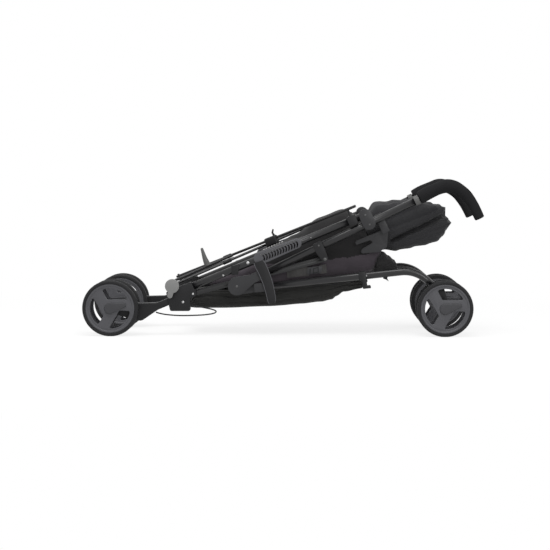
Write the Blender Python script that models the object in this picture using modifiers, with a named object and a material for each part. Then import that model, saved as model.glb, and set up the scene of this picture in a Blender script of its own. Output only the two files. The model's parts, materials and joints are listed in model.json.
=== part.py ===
"""A folded umbrella pushchair, resting on its four pairs of wheels.

Metres, +Z up. X runs along the folded frame, from the rear wheels at -X to the front
castors and the handles at +X. -Y is the pushchair's right side. The origin is on the
floor, at the middle of the bounding box.
"""

import math

import bmesh
import bpy
from mathutils import Matrix, Vector

# Wheels: two to a corner, on one turning axle
WHEEL_RADIUS = 0.073
WHEEL_FACETS = 24
TYRE_WIDTH = 0.024
TYRE_DEPTH = 0.0085
TYRE_SHOULDER = 0.003
TWIN_SPACING = 0.054
RIM_WALL = 0.004
RIM_FACE_WIDTH = 0.012
RIM_INSET = 0.0015
SPOKE_PLATE = 0.006
SPOKE_HALF_WIDTH = 0.0115
SPOKE_COUNT = 3
HUB_RADIUS = 0.0155
HUB_WEB = 0.010
CAP_RADIUS = 0.0145
CAP_LENGTH = 0.037
CAP_RISE = 0.009
CAP_TIP_RADIUS = 0.0055
CAP_HEIGHT = 0.0035
AXLE_RADIUS = 0.004
REAR_AXLE_X = -0.449
FRONT_AXLE_X = 0.421

# Tubes
FRAME_HALF_WIDTH = 0.111
TUBE_RADIUS = 0.0095
TUBE_WALL = 0.0015
PIN_RADIUS = 0.003
SEAT_GAP = 0.0003
SWING_GAP = 0.0012

# Side frame: the knee, the handle tube above it, and the two legs
KNEE_X = -0.120
KNEE_Z = 0.129
HANDLE_SLOPE = math.radians(25.6)
FRONT_SLOPE = math.radians(6.3)
KNEE_DISC_RADIUS = 0.024
KNEE_PIN_RADIUS = 0.004
KNEE_HALF_DEPTH = 0.0135
KNEE_ARM_START = 0.045
KNEE_ARM_END = 0.072
ARM_WALL = 0.0022
HANDLE_TUBE_START = 0.058
HANDLE_TUBE_END = 0.565
FRONT_LEG_DROP = 0.0095
FRONT_TUBE_START = 0.055
FRONT_TUBE_STRAIGHT = 0.430
NECK_RADIUS = 0.085
NECK_TURN = math.radians(47.3)
NECK_TAIL = 0.022
CASTER_STEM_LENGTH = 0.020
FORK_HALF_DEPTH = 0.0125
FORK_CROWN_RADIUS = 0.0165
FORK_BOSS_RADIUS = 0.013
FOOT_CLIP_START = 0.318
FOOT_CLIP_LENGTH = 0.020
FOOT_CLIP_DROP = 0.033

# Rear leg pivot on the handle tube, and the leg's lower end beside the axle
LEG_PIVOT_ALONG = 0.381
LEG_PIVOT_LIFT = 0.0235
LEG_FOOT_AHEAD = 0.090
LEG_FOOT_LIFT = 0.005
REAR_TUBE_OVERHANG = 0.004
TOP_BRACKET_RADIUS = 0.0175
TOP_BRACKET_HALF_DEPTH = 0.0138
CHEEK_THICKNESS = 0.003

# Pieces along the rear leg, as distances from its pivot
COVER_START = 0.176
COVER_END = 0.312
COVER_HALF_HEIGHT = 0.0165
COVER_THICKNESS = 0.006
COVER_SLOTS = 13
SLOT_WIDTH = 0.0036
LATCH_LENGTH = 0.1055
LATCH_SLOPE = math.radians(-71.7)
LATCH_HALF_WIDTH = 0.0142
LATCH_THICKNESS = 0.004
BRACE_FOOT_ALONG = 0.533
BRACE_TOP_ALONG = 0.036
BRACE_LOW_LIFT = 0.0230
BRACE_HIGH_LIFT = 0.0315
BRACE_ROD_RADIUS = 0.0035
BRACE_EYE_RADIUS = 0.008
BRACE_EYE_THICKNESS = 0.006
BRACE_TIP_LENGTH = 0.024
RUNNER_HALF_LENGTH = 0.012
RUNNER_HALF_DEPTH = 0.0128
LOCK_BAR_LENGTH = 0.200
HUB_BLOCK_LENGTH = 0.036
HUB_BLOCK_WIDTH = 0.018
HUB_BLOCK_HEIGHT = 0.024
HUB_BLOCK_LIFT = 0.0270
HUB_BLOCK_SHIFT = 0.0335
PEDAL_DISTANCE = 0.118
PEDAL_HEIGHT = 0.0465
PEDAL_RADIUS = 0.0085
LOWER_BRACKET_DEPTH = 0.057
LOWER_BRACKET_HALF_WIDTH = 0.0125
HOUSING_ARM_DROP = 0.0130
HOUSING_ARM_HALF = 0.0088
HOUSING_HALF_DEPTH = 0.0125
BRAKE_DISC_RADIUS = 0.0185
BRAKE_DISC_LIFT = 0.0214
BRAKE_PEDAL_THICKNESS = 0.008
CABLE_RADIUS = 0.0018

# Sliding strut between the handle tube and the rear leg
STRUT_RUNNER_ALONG = 0.238
STRUT_EAR_DROP = 0.0353
STRUT_FOOT_ABOVE_BRACE = 0.0405
STRUT_FOOT_DROP = 0.0185
STRUT_HALF_HEIGHT = 0.0055
STRUT_THICKNESS = 0.004
STRUT_INSET = 0.0175

# Handle
COLLAR_START = 0.512
COLLAR_LENGTH = 0.0130
COLLAR_RADIUS = 0.0128
GRIP_START = 0.5275
GRIP_LENGTH = 0.119

# Soft parts between the side frames
CANOPY_INSET = 0.031
CANOPY_START = 0.366
CANOPY_LENGTH = 0.221
CANOPY_FOLDS = 9
CANOPY_FOLD_DEPTH = 0.09
CANOPY_CLIP_START = 0.402
CANOPY_CLIP_LENGTH = 0.020
SEAT_REACH = 0.470
SOFT_RING = 16
SOFT_RING_FOLDED = 36
SOFT_SQUARENESS = 0.5
BUCKLE_THICKNESS = 0.006

# Values worked out from the sizes above
AXLE_Z = WHEEL_RADIUS * math.cos(math.pi / WHEEL_FACETS)
ARM_HALF = TUBE_RADIUS + ARM_WALL
STRUT_FOOT_ALONG = BRACE_FOOT_ALONG - STRUT_FOOT_ABOVE_BRACE
LOWER_BRACKET_START = STRUT_FOOT_ALONG - 0.0065
LOWER_BRACKET_END = BRACE_FOOT_ALONG + 0.023
CANOPY_HALF_WIDTH = FRAME_HALF_WIDTH - CANOPY_INSET
STRUT_REACH = STRUT_INSET + STRUT_THICKNESS + SWING_GAP
SOFT_HALF_WIDTH = FRAME_HALF_WIDTH - STRUT_REACH - BUCKLE_THICKNESS
SIDES = {"right": -1, "left": 1}


def along(origin, slope, distance, lift=0.0):
    """A point in the side view, a distance along a sloping line and a lift square to it."""
    x = origin[0] + distance * math.cos(slope) - lift * math.sin(slope)
    z = origin[1] + distance * math.sin(slope) + lift * math.cos(slope)
    return (x, z)


KNEE = (KNEE_X, KNEE_Z)
LEG_PIVOT = along(KNEE, HANDLE_SLOPE, LEG_PIVOT_ALONG, LEG_PIVOT_LIFT)
LEG_FOOT = (REAR_AXLE_X + LEG_FOOT_AHEAD, AXLE_Z + LEG_FOOT_LIFT)
REAR_SLOPE = math.atan2(LEG_PIVOT[1] - LEG_FOOT[1], LEG_PIVOT[0] - LEG_FOOT[0])
REAR_AXLE = (REAR_AXLE_X, AXLE_Z)
FRONT_AXLE = (FRONT_AXLE_X, AXLE_Z)


def on_handle(distance, lift=0.0):
    """A point in the side view, measured up the handle tube from the knee."""
    return along(KNEE, HANDLE_SLOPE, distance, lift)


def on_front(distance, lift=0.0):
    """A point in the side view, measured along the front leg from the knee."""
    return along(KNEE, FRONT_SLOPE, distance, lift - FRONT_LEG_DROP)


def on_rear(distance, lift=0.0):
    """A point in the side view, measured down the rear leg from its pivot."""
    return along(LEG_PIVOT, REAR_SLOPE, -distance, lift)


STRUT_HEAD = on_handle(STRUT_RUNNER_ALONG, -STRUT_EAR_DROP)
STRUT_FOOT = on_rear(STRUT_FOOT_ALONG, -STRUT_FOOT_DROP)
BRACE_FOOT = on_rear(BRACE_FOOT_ALONG)


def clear_scene():
    for obj in list(bpy.data.objects):
        bpy.data.objects.remove(obj, do_unlink=True)


def new_collection(name):
    collection = bpy.data.collections.new(name)
    bpy.context.scene.collection.children.link(collection)
    return collection


def new_material(name, colour, roughness, metallic=0.0):
    material = bpy.data.materials.new(name)
    material.use_nodes = True
    shader = material.node_tree.nodes["Principled BSDF"]
    shader.inputs["Base Color"].default_value = (*colour, 1)
    shader.inputs["Roughness"].default_value = roughness
    shader.inputs["Metallic"].default_value = metallic
    return material


clear_scene()
PARTS = new_collection("pushchair")
TOOLS = new_collection("cutters")
BLACK_TUBE = new_material("black_tube", (0.030, 0.031, 0.034), 0.38, 0.6)
BLACK_PLASTIC = new_material("black_plastic", (0.035, 0.035, 0.037), 0.55)
GREY_PLASTIC = new_material("grey_plastic", (0.115, 0.116, 0.120), 0.5)
PALE_PLASTIC = new_material("pale_plastic", (0.42, 0.42, 0.42), 0.5)
RIM_PLASTIC = new_material("rim_plastic", (0.075, 0.077, 0.082), 0.5)
TYRE_FOAM = new_material("tyre_foam", (0.020, 0.020, 0.021), 0.85)
GRIP_FOAM = new_material("grip_foam", (0.028, 0.028, 0.030), 0.9)
BLACK_CLOTH = new_material("black_cloth", (0.030, 0.031, 0.034), 0.95)
SEAT_CLOTH = new_material("seat_cloth", (0.090, 0.084, 0.094), 0.95)


def rounded(corners, steps=3):
    """A closed outline whose corners (x, z, radius) are rounded by arcs."""
    outline = []
    count = len(corners)
    for index, (x, z, radius) in enumerate(corners):
        here = Vector((x, z))
        before = Vector(corners[index - 1][:2]) - here
        after = Vector(corners[(index + 1) % count][:2]) - here
        if radius <= 0:
            outline.append((x, z))
            continue
        half = before.angle(after) / 2
        reach = min(radius / math.tan(half), 0.49 * before.length, 0.49 * after.length)
        radius = reach * math.tan(half)
        middle = here + (before.normalized() + after.normalized()).normalized() * (
            radius / math.sin(half)
        )
        first = here + before.normalized() * reach - middle
        last = here + after.normalized() * reach - middle
        turn = math.atan2(first.x * last.y - first.y * last.x, first.dot(last))
        for step in range(steps + 1):
            arm = Matrix.Rotation(turn * step / steps, 2) @ first
            outline.append(tuple(middle + arm))
    return outline


def link_outline(first, second, first_radius, second_radius, steps=5):
    """The outline of two round eyes joined by straight tangents."""
    start = Vector(first)
    end = Vector(second)
    heading = math.atan2(end.y - start.y, end.x - start.x)
    spread = math.acos((first_radius - second_radius) / (end - start).length)
    outline = []
    for step in range(steps + 1):
        angle = heading - spread + 2 * spread * step / steps
        outline.append((end.x + second_radius * math.cos(angle), end.y + second_radius * math.sin(angle)))
    back = 2 * math.pi - 2 * spread
    for step in range(steps + 1):
        angle = heading + spread + back * step / steps
        outline.append((start.x + first_radius * math.cos(angle), start.y + first_radius * math.sin(angle)))
    return outline


def circle_outline(centre, radius, steps=12):
    outline = []
    for step in range(steps):
        angle = 2 * math.pi * (step + 0.5) / steps
        outline.append((centre[0] + radius * math.cos(angle), centre[1] + radius * math.sin(angle)))
    return outline


def add_object(name, mesh, material, collection=None):
    obj = bpy.data.objects.new(name, mesh)
    (collection or PARTS).objects.link(obj)
    mesh.materials.clear()
    mesh.materials.append(material)
    mesh.shade_smooth()
    mesh.set_sharp_from_angle(angle=math.radians(35))
    return obj


def as_mesh(obj):
    """The evaluated curve as a welded mesh object, in place of the curve."""
    graph = bpy.context.evaluated_depsgraph_get()
    graph.update()
    mesh = bpy.data.meshes.new_from_object(obj.evaluated_get(graph), depsgraph=graph)
    shape = bmesh.new()
    shape.from_mesh(mesh)
    bmesh.ops.remove_doubles(shape, verts=shape.verts, dist=1e-6)
    bmesh.ops.recalc_face_normals(shape, faces=shape.faces)
    shape.to_mesh(mesh)
    shape.free()
    place = obj.matrix_world.copy()
    name = obj.name
    bpy.data.objects.remove(obj, do_unlink=True)
    return name, mesh, place


def plate(name, loops, low_y, high_y, material, tool=False):
    """A flat moulded piece: outlines in X and Z, filled, from low_y to high_y."""
    curve = bpy.data.curves.new(name, "CURVE")
    curve.dimensions = "2D"
    curve.fill_mode = "BOTH"
    curve.extrude = abs(high_y - low_y) / 2
    for loop in loops:
        spline = curve.splines.new("POLY")
        spline.points.add(len(loop) - 1)
        for point, (x, z) in zip(spline.points, loop):
            point.co = (x, z, 0, 1)
        spline.use_cyclic_u = True
    drawn = bpy.data.objects.new(name, curve)
    drawn.rotation_euler.x = math.pi / 2
    drawn.location.y = (low_y + high_y) / 2
    TOOLS.objects.link(drawn)
    bpy.context.view_layer.update()
    name, mesh, place = as_mesh(drawn)
    obj = add_object(name, mesh, material, TOOLS if tool else PARTS)
    obj.matrix_world = place
    return hide_tool(obj) if tool else obj


def hide_tool(obj):
    obj.hide_render = True
    obj.display_type = "WIRE"
    return obj


def sweep(name, points, radius, material, sides=12, radii=None, capped=True, tool=False):
    """A round bar through points, its ends capped or left open."""
    curve = bpy.data.curves.new(name, "CURVE")
    curve.dimensions = "3D"
    curve.bevel_depth = radius
    curve.bevel_resolution = (sides - 4) // 2
    curve.use_fill_caps = capped
    spline = curve.splines.new("POLY")
    spline.points.add(len(points) - 1)
    for index, place in enumerate(points):
        spline.points[index].co = (*place, 1)
        if radii:
            spline.points[index].radius = radii[index] / radius
    drawn = bpy.data.objects.new(name, curve)
    TOOLS.objects.link(drawn)
    bpy.context.view_layer.update()
    name, mesh, _ = as_mesh(drawn)
    obj = add_object(name, mesh, material, TOOLS if tool else PARTS)
    return hide_tool(obj) if tool else obj


def tube(name, points, material, sides=12):
    """An open-ended tube of the frame's diameter and wall."""
    obj = sweep(name, points, TUBE_RADIUS, material, sides, capped=False)
    wall = obj.modifiers.new("wall", "SOLIDIFY")
    wall.thickness = TUBE_WALL
    wall.offset = -1
    wall.use_even_offset = True
    return obj


def bar(name, start, end, radius, material, sides=12, tool=False):
    """A round bar between two points."""
    run = Vector(end) - Vector(start)
    mesh = bpy.data.meshes.new(name)
    shape = bmesh.new()
    turn = Vector((0, 0, 1)).rotation_difference(run).to_matrix().to_4x4()
    place = Matrix.Translation(Vector(start) + run / 2) @ turn
    bmesh.ops.create_cone(
        shape,
        cap_ends=True,
        segments=sides,
        radius1=radius,
        radius2=radius,
        depth=run.length,
        matrix=place,
    )
    shape.to_mesh(mesh)
    shape.free()
    obj = add_object(name, mesh, material, TOOLS if tool else PARTS)
    return hide_tool(obj) if tool else obj


def turned(name, profile, centre, material, tool=False):
    """A ring about an axle: a closed profile (radius, y) turned about Y."""
    mesh = bpy.data.meshes.new(name)
    shape = bmesh.new()
    corners = [shape.verts.new((radius, 0, y)) for radius, y in profile]
    for index, corner in enumerate(corners):
        shape.edges.new((corner, corners[(index + 1) % len(corners)]))
    shape.to_mesh(mesh)
    shape.free()
    obj = add_object(name, mesh, material, TOOLS if tool else PARTS)
    turn = obj.modifiers.new("turn", "SCREW")
    turn.steps = WHEEL_FACETS
    turn.render_steps = WHEEL_FACETS
    turn.use_merge_vertices = True
    turn.merge_threshold = 0.00005
    half_facet = Matrix.Rotation(math.pi / WHEEL_FACETS, 4, "Z")
    obj.matrix_world = (
        Matrix.Translation(Vector(centre)) @ Matrix.Rotation(math.pi / 2, 4, "X") @ half_facet
    )
    return hide_tool(obj) if tool else obj


def combine(obj, other, operation):
    modifier = obj.modifiers.new(operation.lower(), "BOOLEAN")
    modifier.operation = operation
    modifier.object = other
    return obj


def cut(obj, other):
    return combine(obj, other, "DIFFERENCE")


def add(obj, other):
    return combine(obj, other, "UNION")


def cross_pin(name, centre, radius, low_y, high_y, sides=12):
    """A tool bar along Y, for a pin or for its bore."""
    start = (centre[0], low_y, centre[1])
    end = (centre[0], high_y, centre[1])
    return bar(name, start, end, radius, BLACK_PLASTIC, sides, tool=True)


def at(point, y):
    return (point[0], y, point[1])


def joint(name, location, parent=None):
    """An empty on a joint's axis, which carries the pieces of one moving body."""
    empty = bpy.data.objects.new(name, None)
    empty.empty_display_size = 0.02
    PARTS.objects.link(empty)
    empty.location = location
    bpy.context.view_layer.update()
    if parent:
        attach(empty, parent)
    return empty


def attach(obj, carrier):
    obj.parent = carrier
    obj.matrix_parent_inverse = carrier.matrix_world.inverted()
    bpy.context.view_layer.update()


def smooth_path(points, steps=3):
    """More points on a smooth curve through the given ones."""
    padded = [points[0], *points, points[-1]]
    path = []
    for index in range(1, len(padded) - 2):
        a, b, c, d = (Vector(p) for p in padded[index - 1 : index + 3])
        for step in range(steps):
            t = step / steps
            path.append(
                0.5
                * (
                    2 * b
                    + (c - a) * t
                    + (2 * a - 5 * b + 4 * c - d) * t**2
                    + (3 * b - a - 3 * c + d) * t**3
                )
            )
    path.append(Vector(points[-1]))
    return path


def rim_openings():
    """The openings between the spokes, about a hub at the origin."""
    outer = WHEEL_RADIUS - TYRE_DEPTH - RIM_FACE_WIDTH
    half_turn = math.pi / SPOKE_COUNT
    openings = []
    for index in range(SPOKE_COUNT):
        middle = half_turn * (2 * index + 1)
        reach = half_turn - math.asin(SPOKE_HALF_WIDTH / outer)
        inner = HUB_RADIUS + HUB_WEB
        tip = half_turn - math.asin(SPOKE_HALF_WIDTH / inner)
        corners = []
        for share in (-1, -0.5, 0, 0.5, 1):
            angle = middle + share * reach
            radius = 0.005 if abs(share) == 1 else 0
            corners.append((outer * math.cos(angle), outer * math.sin(angle), radius))
        for share in (1, -1):
            angle = middle + share * tip
            corners.append((inner * math.cos(angle), inner * math.sin(angle), 0.003))
        openings.append(rounded(corners, 2))
    return openings


def make_tyre(name, centre):
    inner = WHEEL_RADIUS - TYRE_DEPTH
    half = TYRE_WIDTH / 2
    shoulder = WHEEL_RADIUS - TYRE_SHOULDER
    profile = [
        (inner, half),
        (shoulder, half),
        (WHEEL_RADIUS, half / 2),
        (WHEEL_RADIUS, -half / 2),
        (shoulder, -half),
        (inner, -half),
    ]
    return turned(name, profile, centre, TYRE_FOAM)


def make_wheel_pair(name, axle, y):
    """Two spoked rims pressed on one axle."""
    reach = TWIN_SPACING / 2 + TYRE_WIDTH / 2
    axle_bar = bar(name, at(axle, y - reach), at(axle, y + reach), AXLE_RADIUS, RIM_PLASTIC, 12)
    outer = WHEEL_RADIUS - TYRE_DEPTH - SEAT_GAP
    half = TYRE_WIDTH / 2 - RIM_INSET
    plate_outline = circle_outline((0, 0), outer - RIM_WALL / 2, WHEEL_FACETS)
    loops = [plate_outline, *rim_openings()]
    moved = [[(axle[0] + px, axle[1] + pz) for px, pz in loop] for loop in loops]
    for outward in (-1, 1):
        centre_y = y + outward * TWIN_SPACING / 2
        profile = [
            (outer, half),
            (outer, -half),
            (outer - RIM_WALL, -half),
            (outer - RIM_WALL, half),
        ]
        barrel = turned(f"{name}_barrel", profile, at(axle, centre_y), RIM_PLASTIC, tool=True)
        add(axle_bar, barrel)
        face = centre_y + outward * (half - 0.001)
        back = face - outward * SPOKE_PLATE
        low, high = sorted((face, back))
        add(axle_bar, plate(f"{name}_spokes", moved, low, high, RIM_PLASTIC, tool=True))
        hub_back = centre_y - outward * half
        low, high = sorted((hub_back, face))
        add(axle_bar, cross_pin(f"{name}_hub", axle, HUB_RADIUS, low, high, 14))
        tip = (axle[0] + CAP_LENGTH, axle[1] + CAP_RISE)
        cap = link_outline(axle, tip, CAP_RADIUS, CAP_TIP_RADIUS)
        low, high = sorted((face - outward * SPOKE_PLATE / 2, face + outward * CAP_HEIGHT))
        add(axle_bar, plate(f"{name}_cap", [cap], low, high, RIM_PLASTIC, tool=True))
    return axle_bar


def make_corner(kind, side, axle, carrier):
    """A pair of wheels with their tyres, turning together."""
    y = SIDES[side] * FRAME_HALF_WIDTH
    spin = joint(f"{kind}_spin_{side}", at(axle, y), carrier)
    attach(make_wheel_pair(f"{kind}_wheel_pair_{side}", axle, y), spin)
    for place, outward in (("outer", SIDES[side]), ("inner", -SIDES[side])):
        centre = at(axle, y + outward * TWIN_SPACING / 2)
        attach(make_tyre(f"{kind}_{place}_tyre_{side}", centre), spin)


def make_handle(side, carrier):
    """The handle tube with its collar, and the swivelling grip on its end."""
    y = SIDES[side] * FRAME_HALF_WIDTH
    start = at(on_handle(HANDLE_TUBE_START), y)
    end = at(on_handle(HANDLE_TUBE_END), y)
    attach(tube(f"handle_tube_{side}", [start, end], BLACK_TUBE), carrier)
    first = at(on_handle(COLLAR_START), y)
    last = at(on_handle(COLLAR_START + COLLAR_LENGTH), y)
    collar = bar(f"handle_collar_{side}", first, last, COLLAR_RADIUS, PALE_PLASTIC, 16)
    bore_start = at(on_handle(COLLAR_START - 0.01), y)
    bore = bar("collar_bore", bore_start, end, TUBE_RADIUS + SEAT_GAP, PALE_PLASTIC, 16, tool=True)
    cut(collar, bore)
    attach(collar, carrier)
    swivel = joint(f"grip_swivel_{side}", at(on_handle(GRIP_START), y), carrier)
    # distance, lift and radius, as shares of the grip's length
    stations = [
        (0.000, 0.025, 0.139),
        (0.050, 0.026, 0.147),
        (0.206, 0.038, 0.147),
        (0.441, 0.034, 0.139),
        (0.634, 0.004, 0.150),
        (0.777, -0.088, 0.145),
        (0.878, -0.227, 0.133),
        (0.950, -0.395, 0.126),
        (0.989, -0.655, 0.116),
        (0.9945, -0.920, 0.109),
    ]
    knots = []
    for distance, lift, radius in stations:
        x, z = on_handle(GRIP_START + GRIP_LENGTH * distance, GRIP_LENGTH * lift)
        knots.append((x, z, GRIP_LENGTH * radius))
    path = smooth_path(knots, 2)
    points = [(knot.x, y, knot.y) for knot in path]
    radii = [knot.z for knot in path]
    heading = (Vector(points[-1]) - Vector(points[-2])).normalized()
    points.append(tuple(Vector(points[-1]) + heading * radii[-1] * 0.3))
    radii.append(radii[-1] * 0.72)
    grip = sweep(f"handle_grip_{side}", points, radii[0], GRIP_FOAM, 12, radii)
    socket_start = at(on_handle(GRIP_START - 0.01), y)
    socket_end = at(on_handle(HANDLE_TUBE_END + SEAT_GAP), y)
    socket = bar("grip_socket", socket_start, socket_end, TUBE_RADIUS + SEAT_GAP, GRIP_FOAM, 16, tool=True)
    cut(grip, socket)
    attach(grip, swivel)


def make_top_bracket(side, carrier):
    """The two-cheeked bracket that joins the rear leg to the handle tube."""
    y = SIDES[side] * FRAME_HALF_WIDTH
    seat = on_handle(LEG_PIVOT_ALONG)
    depth = TOP_BRACKET_HALF_DEPTH
    outline = link_outline(seat, LEG_PIVOT, TOP_BRACKET_RADIUS, TOP_BRACKET_RADIUS * 0.92, 7)
    bracket = plate(f"top_bracket_{side}", [outline], y - depth, y + depth, GREY_PLASTIC)
    gap = depth - CHEEK_THICKNESS
    web_top = ARM_HALF
    corners = []
    for distance, lift in ((-0.05, web_top), (0.05, web_top), (0.05, 0.08), (-0.05, 0.08)):
        corners.append(on_handle(LEG_PIVOT_ALONG + distance, lift))
    cut(bracket, plate("top_slot", [corners], y - gap, y + gap, GREY_PLASTIC, tool=True))
    start = at(on_handle(LEG_PIVOT_ALONG - 0.05), y)
    end = at(on_handle(LEG_PIVOT_ALONG + 0.05), y)
    cut(bracket, bar("top_bore", start, end, TUBE_RADIUS + SEAT_GAP, GREY_PLASTIC, 16, tool=True))
    inside = depth - CHEEK_THICKNESS / 2
    add(bracket, cross_pin("top_pin", LEG_PIVOT, PIN_RADIUS, y - inside, y + inside))
    attach(bracket, carrier)


def knee_half(name, slope, drop, low_y, high_y, y, material):
    """One half of the knee: a disc beside the other's, and an arm that takes a tube."""
    near = along(KNEE, slope, KNEE_ARM_START, -drop)
    disc = link_outline(KNEE, near, KNEE_DISC_RADIUS, ARM_HALF, 8)
    half = plate(name, [disc], low_y, high_y, material)
    corners = []
    for distance, lift in (
        (KNEE_ARM_START, -ARM_HALF),
        (KNEE_ARM_END, -ARM_HALF),
        (KNEE_ARM_END, ARM_HALF),
        (KNEE_ARM_START, ARM_HALF),
    ):
        corners.append((*along(KNEE, slope, distance, lift - drop), 0.002))
    depth = KNEE_HALF_DEPTH
    sleeve = plate(f"{name}_sleeve", [rounded(corners, 2)], y - depth, y + depth, material, tool=True)
    add(half, sleeve)
    start = at(along(KNEE, slope, KNEE_ARM_START + 0.005, -drop), y)
    end = at(along(KNEE, slope, KNEE_ARM_END + 0.01, -drop), y)
    cut(half, bar(f"{name}_bore", start, end, TUBE_RADIUS + SEAT_GAP, material, 16, tool=True))
    return half


def make_knee(side, carrier):
    """The fixed half of the knee, on the lower end of the handle tube, with the pin."""
    y = SIDES[side] * FRAME_HALF_WIDTH
    outward = SIDES[side]
    face = y + outward * KNEE_HALF_DEPTH
    low, high = sorted((y + outward * SWING_GAP / 2, face))
    name = f"knee_bracket_{side}"
    half = knee_half(name, HANDLE_SLOPE, 0.0, low, high, y, GREY_PLASTIC)
    back = y - outward * (KNEE_HALF_DEPTH + 0.001)
    low, high = sorted((y + outward * 0.006, back))
    add(half, cross_pin(f"{name}_pin", KNEE, KNEE_PIN_RADIUS, low, high))
    attach(half, carrier)


def front_leg_path(y):
    """The front leg's centre line: a straight run, then the neck down to the castor."""
    points = [at(on_front(FRONT_TUBE_START), y), at(on_front(FRONT_TUBE_STRAIGHT), y)]
    middle = on_front(FRONT_TUBE_STRAIGHT, -NECK_RADIUS)
    steps = 6
    for step in range(1, steps + 1):
        angle = math.pi / 2 + FRONT_SLOPE - NECK_TURN * step / steps
        x = middle[0] + NECK_RADIUS * math.cos(angle)
        z = middle[1] + NECK_RADIUS * math.sin(angle)
        points.append((x, y, z))
    tail = along((points[-1][0], points[-1][2]), FRONT_SLOPE - NECK_TURN, NECK_TAIL)
    points.append(at(tail, y))
    return points


def make_front_leg(side, carrier):
    """The front leg that swings at the knee, and the castor on its neck."""
    y = SIDES[side] * FRAME_HALF_WIDTH
    outward = SIDES[side]
    swing = joint(f"front_swing_{side}", at(KNEE, y), carrier)
    low, high = sorted((y - outward * SWING_GAP / 2, y - outward * KNEE_HALF_DEPTH))
    name = f"front_knee_{side}"
    half = knee_half(name, FRONT_SLOPE, FRONT_LEG_DROP, low, high, y, GREY_PLASTIC)
    bore_low = y - KNEE_HALF_DEPTH - 0.01
    bore_high = y + KNEE_HALF_DEPTH + 0.01
    cut(half, cross_pin(f"{name}_pin_bore", KNEE, KNEE_PIN_RADIUS + SEAT_GAP, bore_low, bore_high))
    attach(half, swing)
    path = front_leg_path(y)
    attach(tube(f"front_leg_{side}", path, BLACK_TUBE), swing)
    attach(make_foot_bracket(side), swing)
    swivel = joint(f"caster_swivel_{side}", path[-1], swing)
    attach(make_fork(side, path), swivel)
    make_corner("front", side, FRONT_AXLE, swivel)


def make_foot_bracket(side):
    """The clip under the front leg that holds the foot strap."""
    y = SIDES[side] * FRAME_HALF_WIDTH
    half = ARM_HALF
    drop = FOOT_CLIP_DROP
    step = drop - 0.007
    length = FOOT_CLIP_LENGTH
    ring = [(0, half, 0.003), (length, half, 0.003), (length, -half, 0.001)]
    hook = [(length, -step, 0.001), (length * 1.45, -step, 0.002), (length * 1.45, -drop, 0.001)]
    foot = [(length * 0.4, -drop, 0.002), (length * 0.4, -half, 0.001), (0, -half, 0.003)]
    corners = []
    for distance, lift, radius in ring + hook + foot:
        corners.append((*on_front(FOOT_CLIP_START + distance, lift), radius))
    clip = plate(f"foot_bracket_{side}", [rounded(corners, 2)], y - half, y + half, BLACK_PLASTIC)
    start = at(on_front(FOOT_CLIP_START - length), y)
    end = at(on_front(FOOT_CLIP_START + 2 * length), y)
    cut(clip, bar("clip_bore", start, end, TUBE_RADIUS + SEAT_GAP, BLACK_PLASTIC, 16, tool=True))
    return clip


def make_fork(side, path):
    """The castor's centre fork, whose stem turns in the neck of the front leg."""
    y = SIDES[side] * FRAME_HALF_WIDTH
    neck = (path[-1][0], path[-1][2])
    slope = FRONT_SLOPE - NECK_TURN
    crown = along(neck, slope, FORK_CROWN_RADIUS + SWING_GAP)
    outline = link_outline(crown, FRONT_AXLE, FORK_CROWN_RADIUS, FORK_BOSS_RADIUS, 7)
    depth = FORK_HALF_DEPTH
    fork = plate(f"caster_fork_{side}", [outline], y - depth, y + depth, BLACK_PLASTIC)
    stem_top = at(along(neck, slope, -CASTER_STEM_LENGTH), y)
    stem_foot = at(crown, y)
    radius = TUBE_RADIUS - TUBE_WALL - SEAT_GAP * 2
    add(fork, bar(f"stem_{side}", stem_top, stem_foot, radius, BLACK_PLASTIC, 12, tool=True))
    low = y - depth - 0.01
    high = y + depth + 0.01
    cut(fork, cross_pin(f"fork_bore_{side}", FRONT_AXLE, AXLE_RADIUS + SEAT_GAP, low, high))
    return fork


def make_rear_leg(side, carrier):
    """The rear leg, pivoted on the top bracket, with the pieces fixed on it."""
    y = SIDES[side] * FRAME_HALF_WIDTH
    swing = joint(f"rear_swing_{side}", at(LEG_PIVOT, y), carrier)
    start = at(on_rear(-REAR_TUBE_OVERHANG), y)
    end = at(on_rear(LOWER_BRACKET_END - 0.0015), y)
    leg = tube(f"rear_leg_{side}", [start, end], BLACK_TUBE)
    low = y - TUBE_RADIUS * 2
    high = y + TUBE_RADIUS * 2
    cut(leg, cross_pin("leg_bore", LEG_PIVOT, PIN_RADIUS + SEAT_GAP, low, high))
    attach(leg, swing)
    attach(make_leg_cover(side), swing)
    attach(make_lower_bracket(side), swing)
    attach(make_rear_housing(side), swing)
    make_corner("rear", side, REAR_AXLE, swing)
    return swing


def make_leg_cover(side):
    """The slotted cover on the outer side of the rear leg."""
    outward = SIDES[side]
    y = outward * FRAME_HALF_WIDTH
    first = on_rear(COVER_START + COVER_HALF_HEIGHT)
    last = on_rear(COVER_END - COVER_HALF_HEIGHT)
    loops = [link_outline(first, last, COVER_HALF_HEIGHT * 0.8, COVER_HALF_HEIGHT, 6)]
    pitch = (COVER_END - COVER_START - 2.6 * COVER_HALF_HEIGHT) / (COVER_SLOTS - 1)
    for index in range(COVER_SLOTS):
        middle = COVER_START + 1.2 * COVER_HALF_HEIGHT + pitch * index
        reach = COVER_HALF_HEIGHT * 0.52
        slot = []
        for offset, bow in ((-SLOT_WIDTH / 2, 1), (SLOT_WIDTH / 2, -1)):
            for share in (-1, 0, 1):
                lift = share * bow * reach
                sag = (1 - share * share) * 0.0018
                slot.append(on_rear(middle + offset - sag, lift))
        loops.append(slot)
    near = y + outward * (TUBE_RADIUS + SEAT_GAP)
    far = near + outward * COVER_THICKNESS
    low, high = sorted((near, far))
    return plate(f"leg_cover_{side}", loops, low, high, GREY_PLASTIC)


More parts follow.
